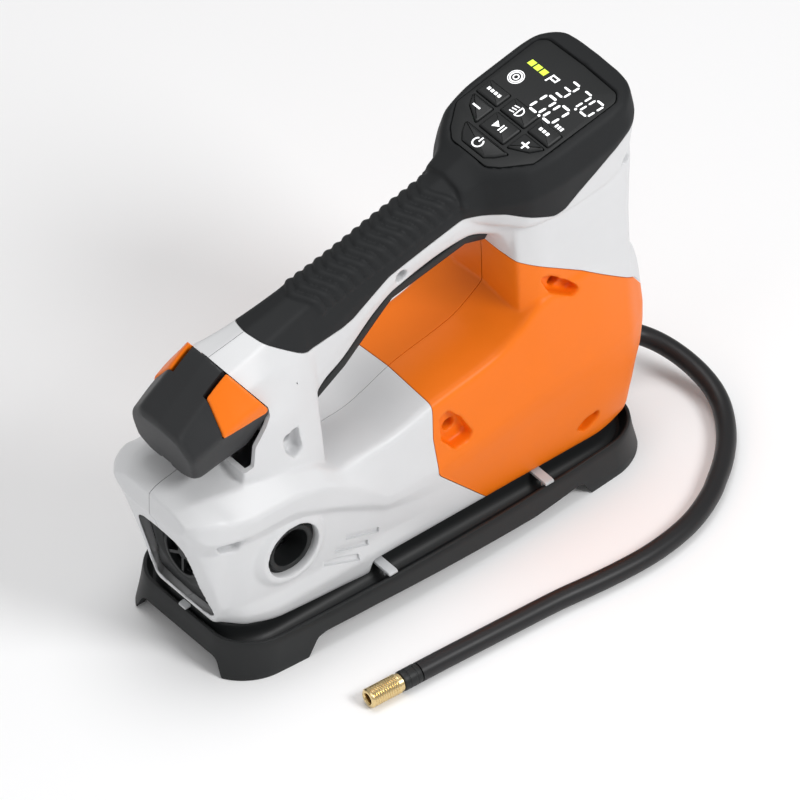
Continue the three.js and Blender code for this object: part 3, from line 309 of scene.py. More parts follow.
def add_node(tree, kind, **values):
    """Adds a node; a value sets an input if there is one of that name, else a property."""
    node = tree.nodes.new(kind)
    for label, value in values.items():
        spoken = label.replace("_", " ").title()
        if spoken in node.inputs:
            node.inputs[spoken].default_value = value
        else:
            setattr(node, label, value)
    return node


def mould_grain():
    """Height = noise at the grain's scale; the bump turns it into a normal."""
    tree, given, made = node_group(
        "mould_grain",
        {"Scale": 1500.0, "Depth": 0.02},
        {"Normal": "NodeSocketVector", "Tone": "NodeSocketFloat"},
    )
    place = tree.nodes.new("ShaderNodeTexCoord")
    fine = add_node(tree, "ShaderNodeTexNoise", detail=3.0)
    slow = add_node(tree, "ShaderNodeTexNoise", scale=28.0, detail=4.0, roughness=0.6)
    metres = add_node(tree, "ShaderNodeMath", operation="MULTIPLY")
    metres.inputs[1].default_value = MM
    bump = add_node(tree, "ShaderNodeBump", strength=1.0)
    link = tree.links.new
    link(place.outputs["Object"], fine.inputs["Vector"])
    link(place.outputs["Object"], slow.inputs["Vector"])
    link(given.outputs["Scale"], fine.inputs["Scale"])
    link(given.outputs["Depth"], metres.inputs[0])
    link(metres.outputs[0], bump.inputs["Distance"])
    link(fine.outputs["Fac"], bump.inputs["Height"])
    link(bump.outputs["Normal"], made.inputs["Normal"])
    link(slow.outputs["Fac"], made.inputs["Tone"])
    return tree


def painted_edge_highlight():
    """Painted highlight: mask = how far the surface bends outwards, times a patchy noise, so convex edges
    turn paler as if they caught the light.
    """
    tree, given, made = node_group("painted_edge_highlight", {"Amount": 0.5}, {"Mask": "NodeSocketFloat"})
    place = tree.nodes.new("ShaderNodeTexCoord")
    shape = tree.nodes.new("ShaderNodeNewGeometry")
    bend = add_node(tree, "ShaderNodeMapRange", from_min=0.53, from_max=0.62)
    patches = add_node(tree, "ShaderNodeTexNoise", scale=90.0, detail=5.0)
    spread = add_node(tree, "ShaderNodeMapRange", from_min=0.4, from_max=0.7)
    both = add_node(tree, "ShaderNodeMath", operation="MULTIPLY")
    scaled = add_node(tree, "ShaderNodeMath", operation="MULTIPLY")
    link = tree.links.new
    link(place.outputs["Object"], patches.inputs["Vector"])
    link(shape.outputs["Pointiness"], bend.inputs["Value"])
    link(patches.outputs["Fac"], spread.inputs["Value"])
    link(bend.outputs["Result"], both.inputs[0])
    link(spread.outputs["Result"], both.inputs[1])
    link(both.outputs[0], scaled.inputs[0])
    link(given.outputs["Amount"], scaled.inputs[1])
    link(scaled.outputs[0], made.inputs["Mask"])
    return tree


GRAIN = mould_grain()
EDGE_HIGHLIGHT_GROUP = painted_edge_highlight()


# %% Materials
def finish(name, colour, roughness, scale=1500.0, depth=0.02, edge=None, edge_highlight_amount=0.5, spread=0.06,
           metallic=0.0, coat=0.0, shine=0.5):
    """A material with grain, a slow change of tone and roughness, and a painted highlight on its convex
    edges.
    """
    material = bpy.data.materials.new(name)
    material.use_nodes = True
    tree = material.node_tree
    shader = tree.nodes["Principled BSDF"]
    shader.inputs["Metallic"].default_value = metallic
    shader.inputs["Coat Weight"].default_value = coat
    shader.inputs["Coat Roughness"].default_value = 0.25
    shader.inputs["Specular IOR Level"].default_value = shine
    grain = add_node(tree, "ShaderNodeGroup", node_tree=GRAIN)
    grain.inputs["Scale"].default_value = scale
    grain.inputs["Depth"].default_value = depth
    edges = add_node(tree, "ShaderNodeGroup", node_tree=EDGE_HIGHLIGHT_GROUP)
    edges.inputs["Amount"].default_value = edge_highlight_amount
    # painted highlight: the paler colour that the convex edges are mixed towards
    pale = np.array(edge if edge else np.clip(np.array(colour) * 1.5 + 0.02, 0, 1))
    tones = add_node(tree, "ShaderNodeMix", data_type="RGBA")
    tones.inputs["A"].default_value = (*(np.array(colour) * 0.96), 1)
    tones.inputs["B"].default_value = (*np.clip(np.array(colour) * 1.04, 0, 1), 1)
    highlit_edges = add_node(tree, "ShaderNodeMix", data_type="RGBA")
    highlit_edges.inputs["B"].default_value = (*pale, 1)
    rough = add_node(tree, "ShaderNodeMapRange", from_min=0.3, from_max=0.7)
    rough.inputs["To Min"].default_value = roughness - spread / 2
    rough.inputs["To Max"].default_value = roughness + spread / 2
    link = tree.links.new
    link(grain.outputs["Tone"], tones.inputs["Factor"])
    link(tones.outputs["Result"], highlit_edges.inputs["A"])
    link(edges.outputs["Mask"], highlit_edges.inputs["Factor"])
    link(highlit_edges.outputs["Result"], shader.inputs["Base Color"])
    link(grain.outputs["Tone"], rough.inputs["Value"])
    link(rough.outputs["Result"], shader.inputs["Roughness"])
    link(grain.outputs["Normal"], shader.inputs["Normal"])
    return material


def glowing(name, colour, strength):
    """Lit display segments, and printed marks given a painted glow, a little brighter than white paint."""
    material = bpy.data.materials.new(name)
    material.use_nodes = True
    shader = material.node_tree.nodes["Principled BSDF"]
    shader.inputs["Base Color"].default_value = (*colour, 1)
    shader.inputs["Roughness"].default_value = 0.4
    shader.inputs["Emission Color"].default_value = (*colour, 1)
    shader.inputs["Emission Strength"].default_value = strength
    return material


# edge= gives the colour of the painted highlight on each casing's convex edges
WHITE = finish("white_casing", (0.66, 0.665, 0.675), 0.42, depth=0.014, edge=(0.85, 0.85, 0.86))
ORANGE = finish("orange_casing", (0.88, 0.18, 0.004), 0.42, depth=0.014, edge=(0.95, 0.28, 0.02), shine=0.28)
GRIP = finish("grip_rubber", (0.012, 0.013, 0.014), 0.62, scale=2200.0, depth=0.02, edge_highlight_amount=0.35, shine=0.25)
BLACK = finish("black_moulding", (0.010, 0.011, 0.0115), 0.47, depth=0.016, edge_highlight_amount=0.4, shine=0.35)
CHARCOAL = finish("battery_shell", (0.020, 0.021, 0.0225), 0.45, depth=0.016, edge_highlight_amount=0.3, shine=0.4)
PANEL_FILM = finish("panel_film", (0.012, 0.013, 0.0135), 0.5, scale=2600.0, depth=0.01, edge_highlight_amount=0.1, shine=0.35)
KEY_RUBBER = finish("key_rubber", (0.009, 0.010, 0.0105), 0.55, scale=2600.0, depth=0.01, edge_highlight_amount=0.3)
HOSE_RUBBER = finish(
    "hose_rubber", (0.012, 0.012, 0.013), 0.42, scale=1200.0, depth=0.015, edge_highlight_amount=0.2, shine=0.35
)
PALE = finish("clip_plastic", (0.48, 0.49, 0.50), 0.45, edge_highlight_amount=0.3)
BRASS = finish("turned_brass", (0.74, 0.57, 0.29), 0.27, scale=900.0, depth=0.01, metallic=1.0, edge_highlight_amount=0.6)
STEEL = finish("zinc_steel", (0.46, 0.46, 0.47), 0.36, scale=800.0, depth=0.01, metallic=1.0)
CAST = finish("cast_metal", (0.62, 0.62, 0.64), 0.5, scale=600.0, depth=0.04, metallic=1.0)
BOARD = finish("circuit_board", (0.02, 0.16, 0.06), 0.4, scale=300.0, depth=0.03, coat=0.4)
CELL_WRAP = finish("cell_wrap", (0.04, 0.12, 0.34), 0.3, scale=200.0, depth=0.03, coat=0.5)
LENS = finish("lamp_lens", (0.75, 0.78, 0.8), 0.12, depth=0.004, coat=0.6)
# This material glows: on the display's segments that is their own light, on printed marks it is a painted
# glow
GLOWING_MARKS = glowing("marks_glowing", (0.85, 0.86, 0.87), 0.9)
BARS = glowing("charge_bars", (0.50, 0.66, 0.05), 0.9)


def dressed(piece, material, body, replaced=()):
    """Gives a piece its material, its CAD body and the nodes that it stands for."""
    piece.data.materials.clear()
    piece.data.materials.append(material)
    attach(piece, body)
    if replaced:
        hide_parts(*replaced)
    return piece


# %% [markdown]
# ## The hose
#
# The rubber hose leaves a gland at the back, drops to the floor in one loose bend and lies along
# the tray's near side. Its line is a smooth curve through the points below, and the tube is a
# circle carried along that line, held upright by the floor's own normal.

# %% Hose
HOSE_RADIUS = 5.75
ROUTE = np.array([
    (168.7, 15, 32.5), (172.5, 15, 32.4), (178, 14, 30.8), (183.5, 11.3, 27.9), (189, 7, 25.4),
    (194, 0.2, 22.8), (198, -8.5, 19.9), (200.6, -18, 17), (202, -28, 13.8), (201.4, -39, 10.8),
    (198.5, -49, 8.4), (193.8, -57.8, 6.9), (187.9, -66.2, 6.1), (181, -74.1, 5.95),
    (170, -84.2, 5.95), (158, -93, 5.95), (149.8, -98.5, 5.95), (131.5, -107.2, 5.95),
    (114.5, -111.9, 5.95), (92.3, -114.5, 5.95), (71.6, -114.2, 5.95), (51.6, -112.6, 5.95),
    (31.9, -110.4, 5.95), (2, -108.7, 5.95), (-25, -107.3, 5.95), (-45, -106.3, 5.95),
    (-64.5, -105.5, 5.95),
])


def curve_through(points, steps):
    """A centripetal Catmull-Rom line: the knots are spaced by the square root of the distance,
    and each piece is a cubic with the slopes of the parabolas through its neighbours."""
    p = np.vstack([2 * points[0] - points[1], points, 2 * points[-1] - points[-2]])
    knot = np.linalg.norm(np.diff(p, axis=0), axis=1, keepdims=True) ** 0.5
    chord = np.diff(p, axis=0) / knot
    wide = (p[2:] - p[:-2]) / (knot[:-1] + knot[1:])
    slope = chord[:-1] - wide + chord[1:]
    t = (np.arange(steps) / steps)[None, :, None]
    start, end = p[1:-2, None], p[2:-1, None]
    out, into = (slope[:-1] * knot[1:-1])[:, None], (slope[1:] * knot[1:-1])[:, None]
    line = (
        (2 * t**3 - 3 * t**2 + 1) * start + (t**3 - 2 * t**2 + t) * out
        + (3 * t**2 - 2 * t**3) * end + (t**3 - t**2) * into
    )
    return np.vstack([line.reshape(-1, 3), points[-1:]])


def across(line):
    """Unit vectors beside and above each point of a line that is never upright."""
    along = np.gradient(line, axis=0)
    along /= np.linalg.norm(along, axis=1, keepdims=True)
    beside = np.cross((0, 0, 1), along)
    beside /= np.linalg.norm(beside, axis=1, keepdims=True)
    return along, beside, np.cross(along, beside)


def tube(name, line, radius, sides=32):
    """A circle of the radius carried along the line."""
    _, beside, above = across(line)
    angle = np.arange(sides) * 2 * np.pi / sides
    ring = np.cos(angle)[:, None] * beside[:, None] + np.sin(angle)[:, None] * above[:, None]
    return loft(name, line[:, None] + np.reshape(radius, (-1, 1, 1)) * ring)


hose_line = curve_through(ROUTE, 12)
hose = shaded(tube("air_hose", hose_line, HOSE_RADIUS))
dressed(hose, HOSE_RUBBER, "housing", ["hose"])

# %% [markdown]
# ## What the hose carries
#
# A gland holds it at the casing, and a pressed ferrule and a brass screw fitting end it. Each is a
# turned piece: a list of (radius, distance) pairs swung round the hose's own line. The fitting's
# thread makes the radius rise and fall once in each pitch, and the angle shifts it along, which is
# what makes it a helix instead of a stack of rings.


# %% Turned pieces
def basis(along):
    """Three unit vectors, the first along the given direction."""
    along = np.array(along, float) / np.linalg.norm(along)
    helper = (0, 0, 1) if abs(along[2]) < 0.9 else (1, 0, 0)
    beside = np.cross(helper, along)
    beside /= np.linalg.norm(beside)
    return along, beside, np.cross(along, beside)


def turned(name, profile, origin, axis, sides=48, ring=False, lift=None):
    """Point = origin + distance·axis + radius·(cos a·beside + sin a·above). `lift` adds to the
    radius as a function of distance and angle."""
    along, beside, above = basis(axis)
    radius, distance = np.array(profile, float).T[..., None]
    angle = (np.arange(sides) * 2 * np.pi / sides)[None, :]
    if lift is not None:
        radius = radius + lift(distance, angle)
    radius = np.maximum(radius + 0 * angle, 0.01)[..., None]
    out = np.cos(angle)[..., None] * beside + np.sin(angle)[..., None] * above
    return loft(name, np.array(origin) + distance[..., None] * along + radius * out, ring)


hose_out = hose_line[-1] - hose_line[-2]
hose_out /= np.linalg.norm(hose_out)
gap = 0.3
FERRULE = 12.0
ferrule_profile = [
    (0, 0), (5.1, 0), (5.6, 0.4), (5.8, 1.2), (5.8, 3), (5.55, 3.3), (5.55, 3.9), (5.8, 4.2),
    (5.8, 8), (5.55, 8.3), (5.55, 8.9), (5.8, 9.2), (5.8, 11), (5.6, 11.7), (5.1, FERRULE), (0, FERRULE),
]
ferrule = shaded(turned("hose_ferrule_turned", ferrule_profile, hose_line[-1] + gap * hose_out, hose_out))
dressed(ferrule, BLACK, "housing", ["hose_ferrule"])

THREAD_PITCH = 1.55
THREAD_DEPTH = 0.55
THREAD = (2.6, 20.6)


def thread_lift(distance, angle):
    """A rounded triangle wave in distance / pitch minus angle / turn, faded at both ends."""
    phase = distance / THREAD_PITCH - angle / (2 * np.pi)
    wave = np.abs(2 * (phase % 1) - 1)
    ends = np.clip((distance - THREAD[0]) / 1.2, 0, 1) * np.clip((THREAD[1] - distance) / 1.2, 0, 1)
    outer = np.linspace(0, 1, distance.shape[0])[:, None] < FITTING_OUTSIDE
    return (wave**0.8 - 1) * THREAD_DEPTH * ends * outer


threaded = [(5.75, d) for d in np.arange(2.2, 21.0, 0.17)]
fitting_outside = [(0, 0), (5.0, 0), (5.2, 0.2), (5.2, 2.0), *threaded, (5.3, 21.4), (4.9, 21.8)]
fitting_bore = [(4.4, 22.0), (3.6, 22.0), (3.1, 21.4), (3.0, 20.5), (3.0, 13), (0, 13)]
FITTING_OUTSIDE = len(fitting_outside) / (len(fitting_outside) + len(fitting_bore))
fitting = turned(
    "threaded_fitting", fitting_outside + fitting_bore,
    hose_line[-1] + (2 * gap + FERRULE) * hose_out, hose_out, 64, lift=thread_lift,
)
dressed(shaded(fitting, 40), BRASS, "housing", ["hose_fitting"])

gland_low, gland_high = (np.array(corner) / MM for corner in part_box("hose_gland"))
gland_length = gland_high[0] - gland_low[0]
rings = np.arange(4.0, gland_length - 3, 2.4)
gland_profile = [(3.4, 0), (8.2, 0), (8.4, 0.4), (8.4, 2.4), (8.0, 3.0)]
gland_profile += [
    (8.0 - 1.5 * (d + lag) / gland_length - deep, d + lag)
    for d in rings for lag, deep in ((0.1, 0), (1.3, 0), (1.5, 0.5), (2.1, 0.5))
]
gland_profile += [(6.5, gland_length - 0.4), (6.1, gland_length), (3.4, gland_length)]
gland_place = (gland_low[0], ROUTE[0][1], ROUTE[0][2])
gland = shaded(turned("hose_gland_boot", gland_profile, gland_place, (1, 0, 0), ring=True))
dressed(gland, BLACK, "housing", ["hose_gland"])

# %% [markdown]
# ## The tray
#
# The tray is a rounded rectangle carried round a section: the deck under the casing, the cove that
# holds the hose, the rim, the flared outer wall and the hollow underside. Each row of the table
# says how far in from the rim it lies and how high. The corner opens out towards the deck. Arches
# with soft corners then leave four feet.

# %% Tray
RIM = (-143.5, 148.0, 55.2, 27.0)  # front, rear, half width and corner radius
DECK = (-139.7, 140.0, 38.4, 28.0)
RIM_WALL, DECK_INSET = 2.9, 12.1
FLARE_LENGTH, FLARE_WIDTH, FLARE_CORNER = 6.3, 1.2, 3.0
BOW, WIDEST = 0.055, -15.0
TRAY_SECTION = [
    (15, 27.4), (13.0, 27.4), (12.4, 27.2), (12.1, 26.7), (11.9, 25.4), (11.5, 22.4), (10.7, 19.8),
    (9.3, 17.8), (7.6, 16.9), (5.9, 17.4), (4.6, 19.0), (3.6, 21.4), (2.9, 23.6), (2.5, 24.3),
    (1.9, 24.6), (1.1, 24.6), (0.5, 24.3), (0.15, 23.6), (-0.3, 20), (-0.9, 14), (-2.2, 5),
    (-2.9, 0.6), (-2.6, 0), (0.6, 0), (0.9, 0.5), (1.6, 9), (2.6, 13.2), (8, 13.4), (15.4, 13.6),
    (16.2, 14.4), (16.3, 23.6), (17, 24.4),
]


def tray_outline(box, amount=0.0, flare=0.0):
    """A rounded rectangle with points along its sides, moved inwards or flared outwards."""
    front, rear, half, corner = box
    front += amount - flare * FLARE_LENGTH
    rear -= amount - flare * FLARE_LENGTH
    half -= amount - flare * FLARE_WIDTH
    corner -= amount - flare * FLARE_CORNER
    angle = np.linspace(0, np.pi / 2, 25)
    arc_points = corner * np.stack([np.cos(angle), np.sin(angle)], -1)
    at_rear = arc_points + (rear - corner, half - corner)
    at_front = arc_points[::-1] * (-1, 1) + (front + corner, half - corner)
    side = np.linspace(at_rear[-1], at_front[0], 34)[1:-1]
    upper = np.concatenate([at_rear, side, at_front])
    return np.concatenate([upper, upper[::-1] * (1, -1)])


def tray_loop(in_by, height):
    """The rim's outline goes over into the deck's. y' = y·(1 − bow·((x − widest)/100)²) bows the rim."""
    loop = tray_outline(RIM, np.clip(in_by, 0, RIM_WALL), np.clip(-in_by / 3, 0, 1))
    loop[:, 1] *= 1 - BOW * ((loop[:, 0] - WIDEST) / 100) ** 2
    if in_by > RIM_WALL:
        deck = tray_outline(DECK, max(in_by - DECK_INSET, 0))
        loop += (deck - loop) * min((in_by - RIM_WALL) / (DECK_INSET - RIM_WALL), 1)
    return np.c_[loop, np.full(len(loop), height)]


tray = loft("tray_moulding", [tray_loop(*row) for row in TRAY_SECTION])
side_arch = rounded([
    (-101, -5), (-98.9, 0), (-92, 11), (-86, 12.6), (-50, 12.3), (20, 10), (62, 8.6), (80, 9.8),
    (92, 11), (98, 9.5), (103.6, 0), (106, -5),
], [0.1, 2, 5, 5, 30, 40, 30, 12, 5, 4, 2, 0.1])
end_arch = rounded([(-38, -5), (-37, 0), (-31, 12), (31, 12), (37, 0), (38, -5)], [0.1, 3, 7, 7, 3, 0.1])
PAST_SIDES, PAST_ENDS = 70, 170  # the arches are cut right through the tray's walls
cut(
    tray,
    prism("side_arch", "y", side_arch, -PAST_SIDES, PAST_SIDES),
    prism("end_arch", "x", end_arch, -PAST_ENDS, PAST_ENDS),
)
dressed(shaded(tray, 28), BLACK, "housing", ["base_tray"])

# %% [markdown]
# ## The casing's form
#
# The outer form is three skins that grow into each other: the hull, the handle's loop and the
# display head. Each skin is a table of half sections along X, from the lowest point to the highest.
# Between the tables' stations a line that never overshoots carries each point, and each section's
# corners are rounded, so the creases run along the body as they do on the moulding.

# %% Section tables
HULL = [
    (-165, (0, 107), (18, 107.5), (23, 108.5), (26, 110), (28, 112), (30, 114), (30, 118), (20, 122),
     (0, 122.5)),
    (-161, (0, 100), (22, 100), (26, 101), (29, 102.5), (32, 105), (35.5, 110), (35.5, 119), (23, 124),
     (0, 125)),
    (-156, (0, 82), (22, 82), (26, 84), (29, 88), (32, 94), (38.5, 106), (39, 119.5), (25, 126),
     (0, 126.5)),
    (-148, (0, 55), (24, 55), (27, 60), (30.5, 68), (34, 90), (41.5, 104), (42.5, 119), (27, 127),
     (0, 128)),
    (-139.5, (0, 28), (24, 28), (28, 35), (31, 43), (34.5, 90), (43, 103), (44, 116), (29, 127),
     (0, 130.5)),
    (-126, (0, 26.1), (35, 26.1), (37.5, 35), (36, 43), (37.5, 90), (45, 102), (46, 114), (32, 127),
     (0, 134)),
    (-106, (0, 24.5), (41, 24.5), (42, 35), (38.5, 43), (39, 89), (45, 102), (46, 114), (35, 125),
     (0, 134)),
    (-80, (0, 22.4), (41.5, 22.4), (42, 35), (38.5, 43), (39, 84), (44.5, 92), (45.5, 109), (37, 117),
     (0, 122)),
    (-62, (0, 21.0), (41.5, 21.0), (42, 35), (38.5, 43), (39.5, 76), (44, 83), (44.5, 98), (38, 107),
     (0, 103)),
    (-45.5, (0, 19.6), (41.5, 19.6), (42, 35), (39, 43), (40, 67), (43.7, 74), (44.2, 84), (38, 107.6),
     (0, 104.4)),
    (-42, (0, 28), (41.5, 28), (42, 35), (39.2, 43), (40.2, 65.3), (43.7, 72), (44.2, 81), (38, 107.7),
     (0, 104.7)),
    (-32, (0, 28), (41.5, 28), (42, 35), (39.5, 43), (40.5, 60), (43.5, 67), (44, 73), (38, 108),
     (0, 105.5)),
    (5, (0, 28), (41.5, 28), (42, 35), (42.4, 45), (43, 56), (43.8, 65), (44, 73), (38, 116), (0, 119)),
    (45, (0, 28), (41.5, 28), (42, 35), (42.6, 48), (43.4, 60), (44.4, 72), (44.6, 80), (38, 124),
     (0, 128)),
    (62, (0, 28), (41.5, 28), (42, 35), (42.6, 48), (43.4, 62), (44.4, 75), (44.6, 83), (38, 133),
     (0, 138)),
    (80, (0, 28), (41.5, 28), (42, 35), (42.6, 48), (43.4, 64), (44.4, 77), (44.6, 85), (38.5, 147),
     (0, 152)),
    (112, (0, 28), (41.5, 28), (42, 35), (42.4, 48), (43, 66), (43.6, 79), (43.6, 88), (38, 151), (0, 156)),
    (139, (0, 28), (35, 28), (37, 34), (39, 48), (40.5, 66), (41, 80), (41, 90), (34, 146), (0, 152)),
    (150, (0, 37), (25, 37), (28, 43), (32, 54), (35, 68), (36, 82), (35.5, 92), (29, 141), (0, 148)),
    (158.5, (0, 55), (14, 55), (19, 59), (23, 65), (27, 74), (28.5, 84), (28.5, 95), (24, 119), (0, 123)),
    (163.5, (0, 68), (5, 68), (8, 70), (10, 74), (12, 80), (12.5, 86), (12, 92), (7, 101), (0, 103)),
]

LOOP = [
    (-125, (0, 122), (30, 122), (32, 132), (31.5, 160), (25, 182), (15, 195), (0, 197)),
    (-104, (0, 110), (36, 110), (34, 128), (31.5, 160), (23, 185), (12.5, 198), (0, 201)),
    (-84, (0, 100), (36, 106), (32.5, 128), (27.5, 158), (20.5, 183), (12, 202), (0, 205.5)),
    (-70, (0, 92), (32, 98), (29, 122), (23.5, 150), (19, 182), (11.5, 205.5), (0, 209)),
    (-66, (0, 92), (30, 96), (27, 120), (22, 148), (18, 180), (11.5, 206.5), (0, 210)),
    (-63, (0, 142), (14, 142), (18, 148), (18.5, 160), (17.2, 182), (11.5, 207.5), (0, 211)),
    (-42, (0, 156), (12, 156), (16, 162), (16.8, 174), (16.2, 191), (11, 212), (0, 216)),
    (-18, (0, 176.5), (11, 176.5), (15, 182), (16.4, 190), (16, 201), (10.8, 217.5), (0, 221.5)),
    (-6, (0, 184.5), (11, 184.5), (15, 189), (16.4, 197), (16, 207), (10.8, 220.5), (0, 224.5)),
    (44, (0, 194.5), (11.5, 194.5), (16, 199), (17.4, 208), (17, 219), (12, 231.5), (0, 235)),
    (60, (0, 190), (14, 190), (21, 195), (23.5, 206), (22, 220), (17, 236), (0, 240)),
    (66.5, (0, 174), (18, 174), (24.5, 182), (27, 200), (26, 218), (20, 238), (0, 242)),
    (69, (0, 96), (28, 100), (30, 130), (30, 170), (28.5, 205), (22, 238), (0, 242)),
    (84, (0, 96), (37, 100), (37.5, 130), (35, 170), (33.5, 205), (28, 238), (0, 243)),
    (120, (0, 96), (38, 100), (38, 130), (35, 172), (35, 208), (30, 242), (0, 246)),
    (143, (0, 96), (35, 100), (35, 130), (32.5, 172), (33, 210), (30, 244), (0, 248)),
    (151, (0, 110), (24, 112), (25, 132), (23, 172), (25, 208), (22, 240), (0, 243)),
]

HEAD = [
    (40, (0, 208), (15.5, 209), (18, 220), (14, 233), (0, 236)),
    (50, (0, 202), (20, 206), (22.5, 220), (17, 236), (0, 239.5)),
    (60, (0, 196), (29, 205), (32, 223), (26, 240.5), (0, 243)),
    (72, (0, 190), (37, 203), (40, 227), (34.5, 244), (0, 245.5)),
    (93, (0, 188), (39.5, 203), (43.2, 231), (38, 249), (0, 250)),
    (122, (0, 188), (39, 206), (43.6, 238), (38, 255.3), (0, 256)),
    (134, (0, 190), (37, 209), (42, 242), (37, 258), (0, 258.5)),
    (142, (0, 195), (33, 211), (38, 244), (33, 259.3), (0, 260)),
    (147.5, (0, 202), (26, 214), (32, 246), (27, 259.8), (0, 260.5)),
    (150, (0, 210), (16, 220), (22, 247), (19, 258), (0, 259)),
]

# The column's rear face draws in between the body and the head.
WAIST = [(170, 212), (153, 210), (149, 196), (147.5, 180), (149, 160), (153, 135), (158, 120), (170, 118)]


# %% Skins
def flowing(x, y, at):
    """Cubic pieces through (x, y). Each slope is the harmonic mean of the two chords beside it,
    and zero where they disagree in sign, so the line never overshoots."""
    chord = np.diff(y, axis=0) / np.diff(x)[:, None]
    product = chord[:-1] * chord[1:]
    total = np.where(product > 0, chord[:-1] + chord[1:], 1)
    slope = np.vstack([chord[:1], np.where(product > 0, 2 * product / total, 0), chord[-1:]])
    i = np.clip(np.searchsorted(x, at, "right") - 1, 0, len(x) - 2)
    wide = (x[i + 1] - x[i])[:, None]
    t = (at - x[i])[:, None] / wide
    return (
        (2 * t**3 - 3 * t**2 + 1) * y[i] + (t**3 - 2 * t**2 + t) * wide * slope[i]
        + (3 * t**2 - 2 * t**3) * y[i + 1] + (t**3 - t**2) * wide * slope[i + 1]
    )


def section_rows(table, radius, step=2.0, thinner=0.0):
    """Loops along X through a table of half sections; thinner moves every loop inwards."""
    x = np.array([row[0] for row in table], float)
    halves = np.array([row[1:] for row in table], float)
    at = np.unique(np.round(np.r_[np.arange(x[0], x[-1], step), x], 2))
    fine = flowing(x, halves.reshape(len(x), -1), at).reshape(len(at), -1, 2)
    full = np.concatenate([fine, fine[:, -2:0:-1] * (-1, 1)], 1)
    loops = rounded(full, radius)
    if thinner:
        loops = np.stack([inset(loop, thinner) for loop in loops])
        at = np.clip(at, x[0] + thinner, x[-1] - thinner)
    return np.concatenate([np.broadcast_to(at[:, None, None], loops.shape[:2] + (1,)), loops], -1)


hull = loft("casing_form", section_rows(HULL, 5))
casing = joined(hull, loft("loop", section_rows(LOOP, 7)), loft("head", section_rows(HEAD, 7)))
waist = rounded(WAIST, [1, 4, 20, 30, 40, 40, 12, 1])
FAR = 90.0  # past either side of the casing
cut(casing, prism("waist", "y", waist, -FAR, FAR))
print("casing form:", len(casing.data.polygons), "faces before cutting")

# %% [markdown]
# ## Ports, slots and screw pockets
#
# The cutters below are prisms along Y or X. A pocket's floor lies a little way in from the side
# wall, and a bore goes on from there to the screw. A raised collar stands round each side port.

# %% Cut the form
SIDE_PORT = (-98.1, 69.7)
PORT_HOLE = 17.2
WALL = 2.8
POCKETS = {
    "nose": (37, [(-150, 102), (-132, 98), (-131, 89), (-134, 86.5), (-143, 89.5), (-147.5, 96)]),
    "collar": (31, [(-98, 145), (-86, 146), (-84.5, 131), (-90, 127), (-96, 134)]),
    "grip": (17, circle((-2, 196.5), 4, 24)),
    "display": (34, [(134, 214), (149, 231), (150, 212), (141, 208.5)]),
    "column": (37, [(79, 161.5), (87, 158.5), (101, 147), (104.5, 141.5), (100, 139), (85, 148.5)]),
    "middle": (41.5, [(5.5, 104), (11.5, 106.5), (19, 98.5), (26, 84.5), (23, 81), (13.5, 79.5), (5, 90)]),
    "rear": (42, [(100.5, 41.5), (107, 46), (116.5, 47.5), (116, 42), (107, 37)]),
}
screw_at = {name: np.mean(outline, 0) for name, (_, outline) in POCKETS.items()}
screw_at["nose"] = np.array((-139.5, 95.5))
POCKET_DEPTH = 6.5
BORE_DEPTH = 9.0
SHALLOWEST_FLOOR, SHALLOWEST_BORE = 9, 5.5
HEAD_BORE = 3.8


def pocket_floor(face):
    return max(face - POCKET_DEPTH, SHALLOWEST_FLOOR)


for name, (face, outline) in POCKETS.items():
    floor = pocket_floor(face)
    mouth = rounded(outline, 1.6)
    bore_end = max(floor - BORE_DEPTH, SHALLOWEST_BORE)
    cut(
        casing,
        prism(name, "y", mouth, -FAR, -floor),
        prism(name, "y", circle(screw_at[name], HEAD_BORE, 24), -floor - 1, -bore_end),
    )

for side in (-1, 1):
    place = (SIDE_PORT[0], 0, SIDE_PORT[1])
    collar = [(0, 20), (25.5, 20), (25.5, 36.5), (24.5, 38.2), (20.5, 41.2), (0, 41.2)]
    joined(casing, turned("collar", collar, place, (0, side, 0)))
    cut(casing, turned("hole", [(0, 10), (PORT_HOLE, 10), (PORT_HOLE, 60), (0, 60)], place, (0, side, 0)))

MOUTH = mirrored([
    (0, 92.5), (14, 91.5), (19.5, 88), (21, 80), (22, 57), (26, 39), (24.5, 35), (14, 33), (0, 31.5),
])
mouth_outline = rounded(MOUTH, [1, 10, 7, 12, 20, 6, 3, 6, 1, 6, 3, 6, 20, 12, 7, 10])
MOUTH_REACH = (-170, -127)
cut(casing, prism("mouth", "x", mouth_outline, *MOUTH_REACH))

# %% [markdown]
# ## The display's own plane
#
# The panel lies in a plane that rises towards the far end. `in_panel` turns points of that plane,
# with x up the slope, into the object's space, and `in_battery` does the same for the battery,
# which slides in along a line tilted by twelve degrees.

# %% Tilted planes
PANEL_SLOPE = math.atan(0.21)
PANEL_AT = (100.0, 0.0, 249.7)
BATTERY_TILT = math.radians(12)
BATTERY_AT = (-155.2, 0.0, 150.2)


def tilted(points, slope, origin):
    """x' = x·cos − z·sin and z' = x·sin + z·cos, and then the origin is added."""
    x, y, z = np.moveaxis(np.asarray(points, float), -1, 0)
    turned_x = x * math.cos(slope) - z * math.sin(slope)
    turned_z = x * math.sin(slope) + z * math.cos(slope)
    return np.stack([turned_x, y, turned_z], -1) + origin


def in_panel(points):
    return tilted(points, PANEL_SLOPE, PANEL_AT)


def in_battery(points):
    return tilted(points, BATTERY_TILT, BATTERY_AT)


PANEL_HALF = [(-43, 0), (-43, 14), (-38, 21), (-24, 32.5), (34, 33), (38.5, 28.5), (39.5, 0)]
panel_corners = np.array(PANEL_HALF + [(x, -y) for x, y in PANEL_HALF[-2:0:-1]])
panel_outline = rounded(panel_corners, 6)
recess_levels = [(-0.4, -3.0), (-0.4, 0), (-2.2, 6), (-6, 30)]
cut(casing, loft("recess", in_panel(raised(panel_outline, recess_levels))))

